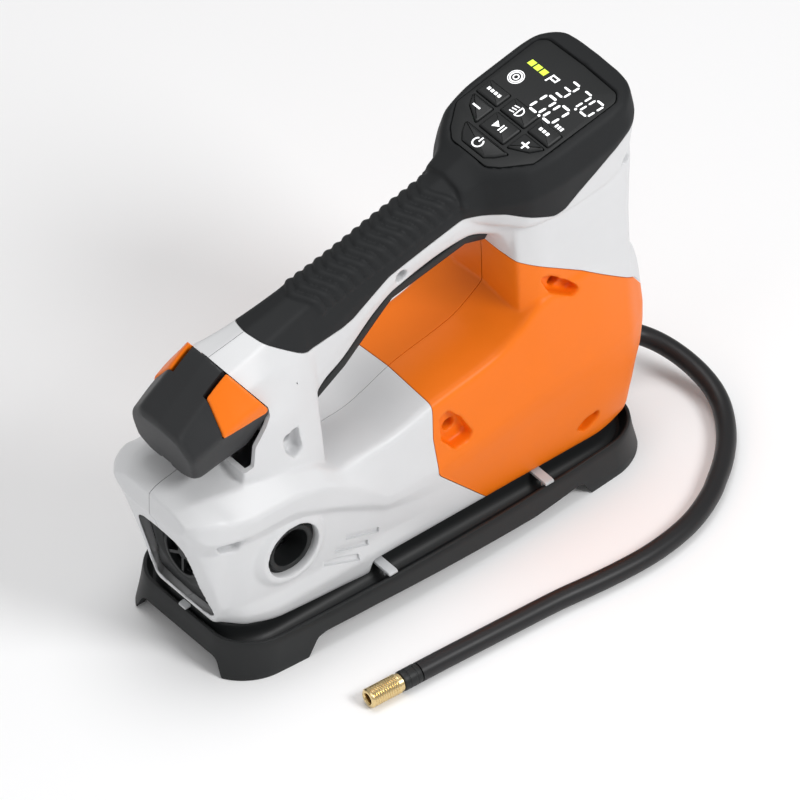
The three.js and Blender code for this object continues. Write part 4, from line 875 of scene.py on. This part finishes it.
# %% Remesh and soften
VOXEL = 1.0
remeshed(casing, VOXEL)
relaxed(casing, 4)
VENT_AT, VENT_STEP, VENT_SIZE, VENT_FALL = (-49.0, 51.6), (-7.5, -5.3), (23.0, 4.0), 7.0
VENT_DEPTH = 1.7
for index in range(3):
    x = VENT_AT[0] + index * VENT_STEP[0]
    z = VENT_AT[1] + index * VENT_STEP[1]
    slope = [(-0.5, 0.5, -0.5), (0.5, -0.5, -0.5), (0.5, -0.5, 0.5), (-0.5, 0.5, 0.5)]
    outline = [(x + a * VENT_SIZE[0], z + b * VENT_FALL + c * VENT_SIZE[1]) for a, b, c in slope]
    for side in (-1, 1):
        low, high = sorted((side * 30, side * FAR))
        slot_cut = prism("vent", "y", rounded(outline, 0.6), low, high)
        cut(slot_cut, loft("vent_floor", section_rows(HULL, 5, 2.0, VENT_DEPTH)))
        cut(casing, slot_cut)
print("casing form:", len(casing.data.polygons), "faces after remeshing")

# %% [markdown]
# ## The ribbed grip
#
# Fifteen ribs run across the top of the handle and sweep back as they go down its sides. They are
# pushed out of the smooth form: the height is the size of a cosine along a slanted coordinate,
# which gives round crests with narrow valleys, and it fades out at the ends of the ribbed field.

# %% Ribs
RIB_COUNT, RIB_PITCH, RIB_START, RIB_HEIGHT = 15, 6.98, -15.5, 1.25


def fade(value, low, high):
    """A smooth step from 0 at low to 1 at high."""
    t = np.clip((value - low) / (high - low), 0, 1)
    return t * t * (3 - 2 * t)


def add_ribs(piece):
    """s = x + z/4 − 0.75·|y|; crests lie one pitch apart in s."""
    mesh = piece.data
    places = places_of(mesh)
    normals = np.empty(len(places) * 3)
    mesh.vertex_normals.foreach_get("vector", normals)
    x, y, z = (places / MM).T
    s = x + 0.25 * z - 0.75 * np.sqrt(y**2 + 9)
    phase = (s - RIB_START) / RIB_PITCH
    field = fade(phase, -0.6, -0.2) * fade(-phase, -(RIB_COUNT - 0.4), -(RIB_COUNT - 0.8))
    lower_end = 198.4 + 0.249 * (x + 52.4)
    height = np.abs(np.cos(np.pi * phase)) * field * fade(z, lower_end - 1, lower_end + 2.5)
    places += normals.reshape(-1, 3) * (height * RIB_HEIGHT * MM)[:, None]
    mesh.vertices.foreach_set("co", places.ravel())
    mesh.update()


add_ribs(casing)

# %% [markdown]
# ## Parting the casing
#
# Seen from the side, three outlines part the form into the white casings, the orange casings and
# the black grip cover, and the plane y = 0 parts left from right. Each cut leaves a hairline of
# air. The inside is hollowed first, with posts left round the screw pockets.

# %% Hollow and part
SEAM = 0.45
CASING_FLOOR = 28.0
COLLAR = [(-200, 215), (-123.6, 215), (-123.4, 197.2), (-105, 170), (-105, 165), (-117, 150),
          (-118.5, 137.2), (-152, 129.5), (-200, 121)]
BLACK_TOP = [(-101, 230), (-100.4, 203), (-70, 181.5), (-44, 183.5), (-36, 186), (-11, 201.5),
             (38, 214), (51, 214.5), (59, 216), (69, 213), (86, 206), (92.5, 208), (101.5, 216),
             (112, 224), (122, 232), (134, 239), (150, 242), (175, 242), (175, 300), (-101, 300)]
ORANGE_REAR = [(2.5, 150), (1.5, 118), (-0.6, 94), (1.2, 68), (38, 28), (38, 10), (180, 10),
               (180, 98), (162, 101), (148, 121), (114, 147.5), (81, 168.5), (66, 176.5),
               (45, 177)]
FINGER_LINER = [(-61, 138), (-40, 151.8), (-16, 173.8), (-7, 181.8), (44, 191.8), (58, 187.3),
                (61, 191.2), (44, 197), (-8, 187), (-19, 178.5), (-42, 157.5), (-63, 142.8)]
LINER_HALF_WIDTH = 14.0
PACK = [(0, -18.2), (15.5, -18.2), (22.8, -9.5), (22.8, 4), (13.5, 21.5), (0, 22.5)]

black_line = rounded(BLACK_TOP, [1, 6, 20, 12, 10, 16, 20, 8, 6, 8, 6, 6, 12, 14, 14, 14, 1, 1, 1, 1])
orange_line = rounded(ORANGE_REAR, [1, 10, 12, 8, 1, 1, 1, 1, 3, 10, 16, 12, 5, 1])

hollow = joined(
    loft("hollow", section_rows(HULL, 5, 6.0, WALL)),
    loft("hollow_loop", section_rows(LOOP, 7, 6.0, WALL)),
    loft("hollow_head", section_rows(HEAD, 7, 6.0, WALL)),
)
for name, (face, outline) in POCKETS.items():
    floor = pocket_floor(face)
    cut(
        hollow,
        prism(name, "y", inset(outline, -2.2), -FAR, -floor + 2.2),
        prism(name, "y", circle(screw_at[name], 5.4, 20), -floor - 1, -0.1),
        prism(name, "y", circle(screw_at[name], 4.0, 20), 0.1, FAR),
    )
recess_room = [(-3.2, -6.2), (-3.2, 0), (-6, 9)]
cut(
    hollow,
    loft("recess_room", in_panel(raised(panel_outline, recess_room))),
    prism("waist_wall", "y", inset(waist, -WALL), -FAR, FAR),
    prism("below", "z", box_outline((-300, -100), (300, 100)), -10, CASING_FLOOR + WALL),
)
key_well = loft("key_well", in_panel(raised(inset(panel_outline, 2.6), [(0, -12), (0, -1)])))
kept(key_well, loft("near_keys", in_panel(raised(box_outline((-60, -60), (0, 60)), [(0, -14), (0, 2)]))))
joined(hollow, key_well)
cut(casing, hollow)

pack_outline = mirrored(PACK)
bay_rows = in_battery(raised(inset(pack_outline, -0.7), [(0, 20), (0, 77)], "x"))
gland_hole = circle((ROUTE[0][1], ROUTE[0][2]), 8.8)
liner_room = rounded(inset(FINGER_LINER, -0.35), 1)
liner_reach = LINER_HALF_WIDTH + 0.35
cut(
    casing,
    prism("deck_room", "z", tray_outline(DECK, -0.4), -10, CASING_FLOOR),
    prism("collar_cut", "y", rounded(COLLAR, 2), -FAR, FAR),
    loft("bay", bay_rows),
    prism("gland_hole", "x", gland_hole, 130, 175),
    prism("liner_room", "y", liner_room, -liner_reach, liner_reach),
)

grip = kept(twin(casing, "ribbed_grip_cover"), prism("black", "y", inset(black_line, SEAM / 2), -FAR, FAR))
orange = kept(twin(casing, "orange"), prism("rear", "y", inset(orange_line, SEAM / 2), -FAR, FAR))
white = cut(
    casing,
    prism("black", "y", inset(black_line, -SEAM / 2), -FAR, FAR),
    prism("rear", "y", inset(orange_line, -SEAM / 2), -FAR, FAR),
)
dressed(shaded(grip), GRIP, "housing", ["grip_cover"])

half_spaces = {"left": (-FAR, -SEAM / 2), "right": (SEAM / 2, FAR)}
for side, (low, high) in half_spaces.items():
    for source, label, finish_used, slot in (
        (white, "front_casing", WHITE, "white_plastic"), (orange, "rear_casing", ORANGE, "orange_plastic"),
    ):
        half = prism("half", "y", box_outline((-200, 0), (200, 300)), low, high)
        shell = kept(twin(source, f"{label}_{side}_shell"), half)
        dressed(shaded(shell), finish_used, "housing", [f"{label}_{side}"])
        print(shell.name, len(shell.data.polygons), "faces")
for source in (white, orange):
    bpy.data.objects.remove(source)

# %% [markdown]
# ## The battery
#
# The battery's head is a skin along its own tilted line. A narrow groove sets off the front face.
# The two latches are the parts of the same skin, a little swollen, that lie inside an outline seen
# from the side, and the head gives way to them with a thin gap all round.

# %% Battery and latches
CAP = [
    (0, (0, -12), (13, -12), (23, -8), (24.5, 6), (15.5, 15.5), (0, 17)),
    (2.2, (0, -13.2), (14, -13.2), (25, -9), (27, 8.5), (17, 19), (0, 20.5)),
    (6, (0, -20.2), (14, -20.2), (25.3, -8.8), (27.6, 9.6), (17, 21.3), (0, 22.9)),
    (20, (0, -20.2), (14, -20.2), (26, -8), (29.5, 13.5), (16.5, 28.5), (0, 30.5)),
    (36, (0, -20.2), (14, -20.2), (27, -8), (30.5, 17), (16.5, 36.5), (0, 38.5)),
    (62, (0, -20.2), (14, -20.2), (27, -8), (31, 19), (16.5, 46), (0, 48)),
]
LATCH_SIDE = [(-123.7, 197), (-106, 170.4), (-108, 168.5), (-137, 167), (-137, 190)]
LATCH_INNER, LATCH_TRAVEL, LATCH_PLAY = 12.5, 2.3, 0.4


def cap_rows(swell=1.0, lift=0.0):
    rows = section_rows(CAP, 7, 1.5)
    return in_battery(rows * (1, swell, 1) + (0, 0, lift))


def collar_room():
    outline = [(x - 0.5, z + (0.6 if x < -118 and z < 140 else 0)) for x, z in COLLAR]
    return prism("collar_room", "y", rounded(outline, 1), -FAR, FAR)


cap = kept(loft("battery_head", cap_rows()), collar_room())
groove = loft("groove", in_battery(section_rows([(2.5, *CAP[1][1:]), (3.1, *CAP[1][1:])], 7) * (1, 1.2, 1.2)))
cut(groove, loft("core", in_battery(section_rows([(2, *CAP[1][1:]), (4, *CAP[1][1:])], 7, thinner=0.35))))
cap_inside = loft("inside", in_battery(raised(inset(pack_outline, 1.2), [(0, 6.5), (0, 96)], "x")))
NOTCH = box_outline((-4.5, -13.5), (4.5, -10.5))
notch = loft("notch", in_battery(raised(NOTCH, [(0, -1), (0, 3)], "x")))
cut(cap, groove, notch)
remeshed(cap, 0.8)
relaxed(cap, 5)
cut(cap, cap_inside)
for side in (-1, 1):
    low, high = sorted((side * LATCH_INNER, side * 40))
    cut(cap, prism("latch_room", "y", rounded(inset(LATCH_SIDE, -LATCH_PLAY), 1), low, high))
dressed(shaded(cap), CHARCOAL, "battery", ["battery_cap"])

for side, label in ((-1, "left"), (1, "right")):
    low, high = sorted((side * (LATCH_INNER + LATCH_TRAVEL + 0.3), side * 40))
    latch = kept(loft(f"latch_{label}_key", cap_rows(1.03, 0.6)), collar_room())
    kept(latch, prism("latch_side", "y", rounded(LATCH_SIDE, 1), low, high))
    cut(latch, loft("pack", in_battery(raised(inset(pack_outline, -0.8), [(0, -5), (0, 96)], "x"))))
    remeshed(latch, 0.6)
    relaxed(latch, 5)
    dressed(shaded(latch), ORANGE, f"latch_{label}", [f"latch_{label}"])

# %% [markdown]
# ## The display panel and its keys
#
# The panel is a plate with a soft edge and one hole for each key. A key is a low block with a
# raised, bevelled top: its outline is repeated at several heights, each time a little smaller.

# %% Panel and keys
KEYS = {
    "mode": [(-12, 13), (-12, 30), (-1.5, 30), (-1.5, 13)],
    "light": [(-12, -10), (-12, 10), (-1, 10), (-1, -10)],
    "unit": [(-12, -30), (-12, -13), (-1.5, -13), (-1.5, -30)],
    "minus": [(-27, 13), (-21, 25), (-14, 30), (-14, 13)],
    "start": [(-27, -10), (-27, 10), (-14, 10), (-14, -10)],
    "plus": [(-14, -30), (-21, -25), (-27, -13), (-14, -13)],
    "power": [(-40, -9), (-40, 9), (-36, 13.5), (-29.5, 18), (-29.5, -18), (-36, -13.5)],
}
PANEL_THICKNESS = 2.4
KEY_PLAY = 0.45
KEY_TOP = 1.6
key_levels = [(0.1, -2.6), (0, -1.5), (0, 0.5), (0.25, 0.95), (0.9, 1.45), (1.3, KEY_TOP)]

plate_levels = [(0.3, -PANEL_THICKNESS), (0, -2), (0, -0.35), (0.1, -0.1), (0.35, 0)]
panel = loft("display_plate", in_panel(raised(panel_outline, plate_levels)))
for name, outline in KEYS.items():
    hole = raised(rounded(inset(outline, -KEY_PLAY), 1.4), [(0, -9), (0, 9)])
    cut(panel, loft(name, in_panel(hole)))
dressed(shaded(panel), PANEL_FILM, "housing", ["display_panel"])

for name, outline in KEYS.items():
    key = loft(f"{name}_key_cap", in_panel(raised(rounded(outline, 1.2), key_levels)))
    dressed(shaded(key, 50), KEY_RUBBER, f"{name}_key", [f"{name}_key"])

# %% [markdown]
# ## Marks and digits
#
# The marks are thin flat pieces that lie on the panel or on a key, so they move with it. A mark is
# built from strokes. In a mark's own plane, right is towards the near side and up is up the slope.


# %% Marks
MARK_HEIGHT = 0.06


def stroke(points, width):
    """The outline of a band of the given width round an open line."""
    line = np.array(points, float)
    along = np.gradient(line, axis=0)
    along /= np.linalg.norm(along, axis=1, keepdims=True)
    side = np.stack([-along[:, 1], along[:, 0]], -1) * width / 2
    return np.concatenate([line + side, (line - side)[::-1]])


def arc(radius, start, end, width, middle=(0, 0)):
    angle = np.radians(np.linspace(start, end, 24))
    return stroke(np.stack([np.cos(angle), np.sin(angle)], -1) * radius + middle, width)


def mark(name, outlines, middle, height, body, material, slot):
    """Puts flat outlines, drawn as (right, up), on the panel's plane at a height above it."""
    points, faces = [], []
    for outline in outlines:
        right, up = np.array(outline, float).T
        count = len(right)
        flat = np.stack([middle[0] + up, middle[1] - right, np.full(count, height)], -1)
        area = (flat[:, 0] * np.roll(flat[:, 1], -1) - np.roll(flat[:, 0], -1) * flat[:, 1]).sum()
        flat = flat if area > 0 else flat[::-1]
        start = sum(len(p) for p in points)
        points += [flat, flat + (0, 0, MARK_HEIGHT)]
        ring = np.arange(count)
        step = (ring + 1) % count
        walls = np.stack([ring, step, step + count, ring + count], -1) + start
        faces += walls.tolist()
        faces.append((ring[::-1] + start).tolist())
        faces.append((ring + count + start).tolist())
    piece = mesh_object(name, in_panel(np.concatenate(points)), faces)
    return dressed(piece, material, body)


def bar(low, high):
    return box_outline(low, high)


def segments(shown, height, width, thick, lean=0.12):
    """The lit bars of a seven-segment digit, named a to g, each a long hexagon."""
    half, edge, h = width / 2, thick / 2, height / 2
    flat = np.array([(-half + edge, 0), (-half + thick, edge), (half - thick, edge),
                     (half - edge, 0), (half - thick, -edge), (-half + thick, -edge)])
    tall = np.array([(0, edge), (edge, thick), (edge, h - thick), (0, h - edge),
                     (-edge, h - thick), (-edge, thick)])
    places = {
        "a": flat + (0, h), "g": flat, "d": flat - (0, h),
        "b": tall + (half, 0), "c": tall * (1, -1) + (half, 0),
        "f": tall - (half, 0), "e": tall * (1, -1) - (half, 0),
    }
    return [np.stack([p[:, 0] + lean * p[:, 1], p[:, 1]], -1) for k, p in places.items() if k in shown]


DIGITS = {"0": "abcdef", "3": "abcdg", "7": "abc"}


def shifted(outlines, right, up=0.0):
    return [np.array(o, float) + (right, up) for o in outlines]


PANEL_MARK = ("housing", GLOWING_MARKS, "panel_plastic")
small = [("3", 0), ("7", 10), ("0", 20)]
upper_digits = [o for d, right in small for o in shifted(segments(DIGITS[d], 11.5, 6.6, 1.25), right)]
upper_digits.append(circle((13.8, -6.2), 0.8, 12))
mark("target_digits", upper_digits, (22.4, -6.6), 0.02, *PANEL_MARK)
lower_digits = [o for right in (0, 11) for o in shifted(segments(DIGITS["0"], 13, 7.4, 1.5), right)]
lower_digits.append(circle((4.6, -6.9), 0.9, 12))
mark("pressure_digits", lower_digits, (6.6, -4.2), 0.02, *PANEL_MARK)
mark("unit_mark", [bar((x, -1.2), (x + 1.3, 1.2)) for x in (-3, -0.9, 1.2)], (1.6, -24.0), 0.02, *PANEL_MARK)
bars = [[(x, -1.9), (x + 3.9, -1.9), (x + 4.4, 1.9), (x + 0.5, 1.9)] for x in (-7.4, -2.4, 2.6)]
mark("charge_level", bars, (21.6, 17.2), 0.02, "housing", BARS, "panel_plastic")
valve = [
    bar((-3, -3), (-2, 3)), bar((-2, 2), (1.6, 3)),
    bar((-2, -0.6), (1.6, 0.4)), bar((1.6, -0.6), (2.6, 3)),
]
mark("valve_mark", [[(x + 0.15 * y, y) for x, y in o] for o in valve], (21.2, 4.6), 0.02, *PANEL_MARK)
rings_mark = [arc(r, a, a + 180, w) for r, w in ((4.6, 0.5), (3.4, 0.9), (1.6, 0.7)) for a in (0, 180)]
mark("wheel_mark", rings_mark, (9.2, 21.4), 0.02, *PANEL_MARK)

KEY_MARKS = {
    "mode": [bar((x, -1), (x + 1.9, 1)) for x in (-5.2, -2.4, 0.4, 3.2)],
    "light": [
        arc(2.9, -90, 90, 0.75, (0.4, 0)), bar((-0.4, -3.3), (0.4, 3.3)),
        *[[(-4.6, y - 0.9), (-1.4, y - 0.3), (-1.4, y + 0.4), (-4.6, y - 0.2)] for y in (-2, 0, 2)],
    ],
    "unit": [bar((x, -1), (x + 1.9, 1)) for x in (-3.8, -1, 1.8)],
    "minus": [bar((-2.9, -0.55), (2.9, 0.55))],
    "start": [
        [(-3.6, -2.5), (0.4, 0), (-3.6, 2.5)], bar((1.2, -2.4), (2.1, 2.4)), bar((3.2, -2.4), (4.1, 2.4)),
    ],
    "plus": [
        bar((-2.9, -0.55), (2.9, 0.55)), bar((-0.55, 0.56), (0.55, 2.9)), bar((-0.55, -2.9), (0.55, -0.56)),
    ],
    "power": [arc(3.1, 125, 415, 0.9), bar((-0.45, 0.6), (0.45, 4.0))],
}
KEY_MIDDLES = {
    "mode": (-6.6, 20.9), "light": (-6.6, 0.6), "unit": (-6.4, -20.9), "minus": (-19.6, 20.6),
    "start": (-20.6, 0.4), "plus": (-19.6, -20.4), "power": (-35.6, 0.6),
}
# The print on the keys glows with a painted glow, though no lamp lights the keys
for name, outlines in KEY_MARKS.items():
    mark(f"{name}_mark", outlines, KEY_MIDDLES[name], KEY_TOP + 0.01, f"{name}_key", GLOWING_MARKS, "key_plastic")

# %% [markdown]
# ## The nose
#
# Behind the leaf-shaped mouth lies a smooth dark bowl with a spoked intake ring. The bowl is a
# plug of the mouth's outline, hollowed by an ellipsoid and softened. The ring has its spokes on a
# round hub, and each side port is a turned ring with a rolled lip.

# %% Bowl, intake ring and lamp
GRILLE_AT = (-143.0, 0.0, 65.0)
GRILLE_RADIUS = 15.6
bowl = kept(
    prism("nose_dish", "x", inset(mouth_outline, 0.5), -152, -131),
    loft("hull_skin", section_rows(HULL, 5, 3.0, 1.2)),
)
slant = prism("slant", "y", [(-200, 140), (-153, 92), (-134.5, 24), (-200, 24)], -FAR, FAR)
dish_profile = [(30 * math.sin(a), -30 * math.cos(a)) for a in np.linspace(0, np.pi, 40)]
dish = turned("dish", dish_profile, (0, 0, 0), (0, 0, 1), 64)
dish_places = places_of(dish.data) / MM * (17 / 30, 23 / 30, 1) + (-154, 0, 58)
dish.data.vertices.foreach_set("co", (dish_places * MM).ravel())
duct = prism("duct", "x", circle(GRILLE_AT[1:], GRILLE_RADIUS + gap), -180, -100)
lamp_hole = prism("lamp_hole", "x", circle((0, 83.6), 2.3, 24), -180, -135)
cut(bowl, slant, dish, duct, lamp_hole)
remeshed(bowl, 0.7)
relaxed(bowl, 4)
dressed(shaded(bowl, 40), BLACK, "housing", ["nose_bowl"])

ring_profile = [(13.4, 0.3), (13.7, 0), (15.2, 0), (15.6, 0.4), (15.6, 3), (13.4, 3)]
grille = turned("intake_ring", ring_profile, GRILLE_AT, (1, 0, 0), 64, ring=True)
joined(grille, turned("hub", [(0, 0.2), (3.4, 0.2), (4, 0.8), (4, 2.8), (0, 2.8)], GRILLE_AT, (1, 0, 0)))
for index in range(6):
    angle = 2 * math.pi * index / 6 + math.pi / 2
    out = np.array((math.cos(angle), math.sin(angle)))
    spoke = stroke([out * 3 + GRILLE_AT[1:], out * 14 + GRILLE_AT[1:]], 1.9)
    joined(grille, prism("spoke", "x", spoke, GRILLE_AT[0] + 0.5, GRILLE_AT[0] + 2.6))
dressed(shaded(grille), BLACK, "housing", ["intake_grille"])

# %% Side ports
port_profile = [
    (11.7, 1.4), (12.2, 0.9), (13.9, 0.5), (14.6, 0.9), (14.9, 1.8), (15.1, 3.0), (17.2, 3.2),
    (17.7, 3.7), (17.7, 6), (14.9, 6.4), (14.9, 15), (11.7, 15),
]
for side, label in ((-1, "left"), (1, "right")):
    place = (SIDE_PORT[0], side * 39.3, SIDE_PORT[1])
    port = turned(f"side_port_{label}_ring", port_profile, place, (0, -side, 0), 72, ring=True)
    dressed(shaded(port, 40), BLACK, "housing", [f"side_port_{label}"])

# %% [markdown]
# ## Hose clips and the finger liner
#
# Five pale tabs reach from under the casing over the channel, so that a stowed hose stays in. Each
# is a bent section pulled sideways, with its edges bevelled. A black strip lines the edge of the
# hand opening.

# %% Clips and liner
CLIPS = {
    "front": ((DECK[0], 0), 180, 3.8),
    "near_front": ((-38.5, -DECK[2]), -90, 15), "near_rear": ((73, -DECK[2]), -90, 14),
    "far_front": ((-38.5, DECK[2]), 90, 15), "far_rear": ((73, DECK[2]), 90, 14),
}
CLIP_UNDER, CLIP_TOP, CLIP_ROOT = 24.85, 27.0, -3.2
CLIP_HOOK = [(11, CLIP_UNDER), (10.8, 22.6), (9.6, 22.6), (9.4, CLIP_UNDER)]


def bevelled(piece, width, angle=30):
    modifier = piece.modifiers.new("soft", "BEVEL")
    modifier.width = width * MM
    modifier.segments = 2
    modifier.limit_method = "ANGLE"
    modifier.angle_limit = math.radians(angle)
    return settle(piece)


for name, (place, degrees, reach) in CLIPS.items():
    section = [
        (CLIP_ROOT, CLIP_UNDER), (CLIP_ROOT, CLIP_TOP), (reach - 1.4, CLIP_TOP), (reach, CLIP_TOP - 0.7),
        (reach, CLIP_UNDER),
    ]
    if reach > CLIP_HOOK[0][0]:
        section += CLIP_HOOK
    clip = prism(f"clip_{name}_tab", "y", section, -3, 3)
    cosine, sine = math.cos(math.radians(degrees)), math.sin(math.radians(degrees))
    x, y, z = (places_of(clip.data) / MM).T
    moved = np.stack([x * cosine - y * sine + place[0], x * sine + y * cosine + place[1], z], -1)
    clip.data.vertices.foreach_set("co", (moved * MM).ravel())
    clip.data.update()
    bevelled(clip, 0.5)
    dressed(shaded(clip), PALE, "housing", [f"hose_clip_{name}"])

liner = prism("finger_liner_strip", "y", rounded(FINGER_LINER, 1), -LINER_HALF_WIDTH, LINER_HALF_WIDTH)
bevelled(liner, 0.9, 60)
dressed(shaded(liner), BLACK, "housing", ["finger_liner"])

# %% [markdown]
# ## Pieces that the CAD model already shapes well
#
# Screws, boards, cells, the motor and the pump keep their CAD meshes and only get a finish.

# %% Finishes of the inner pieces
INNER = {
    STEEL: [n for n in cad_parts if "screw" in n] + ["motor", "motor_shaft", "crank_gear"],
    CAST: ["gear_plate", "cylinder", "cylinder_head", "outlet_block", "piston"],
    BOARD: ["display_board", "control_board"],
    BRASS: ["pinion"],
    BLACK: ["cooling_fan", "piston_seal", "battery_sleeve", "battery_terminal"],
    HOSE_RUBBER: ["air_tube"],
    CELL_WRAP: ["battery_cell_left", "battery_cell_right", "battery_cell_top"],
    LENS: ["lamp_lens"],
}
for material, names in INNER.items():
    for name in names:
        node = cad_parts[name]
        node.data.materials.clear()
        node.data.materials.append(material)

# %% [markdown]
# ## Floor and light
#
# The floor and the surroundings are nearly white. One large soft light stands to the camera's
# right and a weaker one to its left, with a wide one overhead, so the shadows are pale and soft.

# %% Floor and lights
FLOOR_HALF = 4000
floor_corners = [(x * FLOOR_HALF, y * FLOOR_HALF, 0) for x, y in ((-1, -1), (1, -1), (1, 1), (-1, 1))]
floor = mesh_object("floor", floor_corners, [[0, 1, 2, 3]])
paper = bpy.data.materials.new("paper_floor")
paper.use_nodes = True
paper.node_tree.nodes["Principled BSDF"].inputs["Base Color"].default_value = (0.94, 0.94, 0.945, 1)
paper.node_tree.nodes["Principled BSDF"].inputs["Roughness"].default_value = 0.8
floor.data.materials.append(paper)

world = bpy.data.worlds.new("studio")
world.use_nodes = True
world.node_tree.nodes["Background"].inputs["Color"].default_value = (1, 1, 1, 1)
world.node_tree.nodes["Background"].inputs["Strength"].default_value = 0.42
bpy.context.scene.world = world
bpy.context.scene.view_settings.view_transform = "Standard"


def soft_light(name, place, size, power):
    light = bpy.data.objects.new(name, bpy.data.lights.new(name, "AREA"))
    light.data.shape = "DISK"
    light.data.size = size
    light.data.energy = power
    light.location = place
    light.rotation_mode = "QUATERNION"
    light.rotation_quaternion = (LOOK_AT - Vector(place)).to_track_quat("-Z", "Y")
    bpy.context.scene.collection.objects.link(light)


soft_light("key", (0.5, -1.5, 1.5), 0.8, 24)
soft_light("overhead", (0.1, 0.3, 2.2), 1.4, 15)
soft_light("fill", (-1.8, -0.3, 1.0), 1.2, 5)
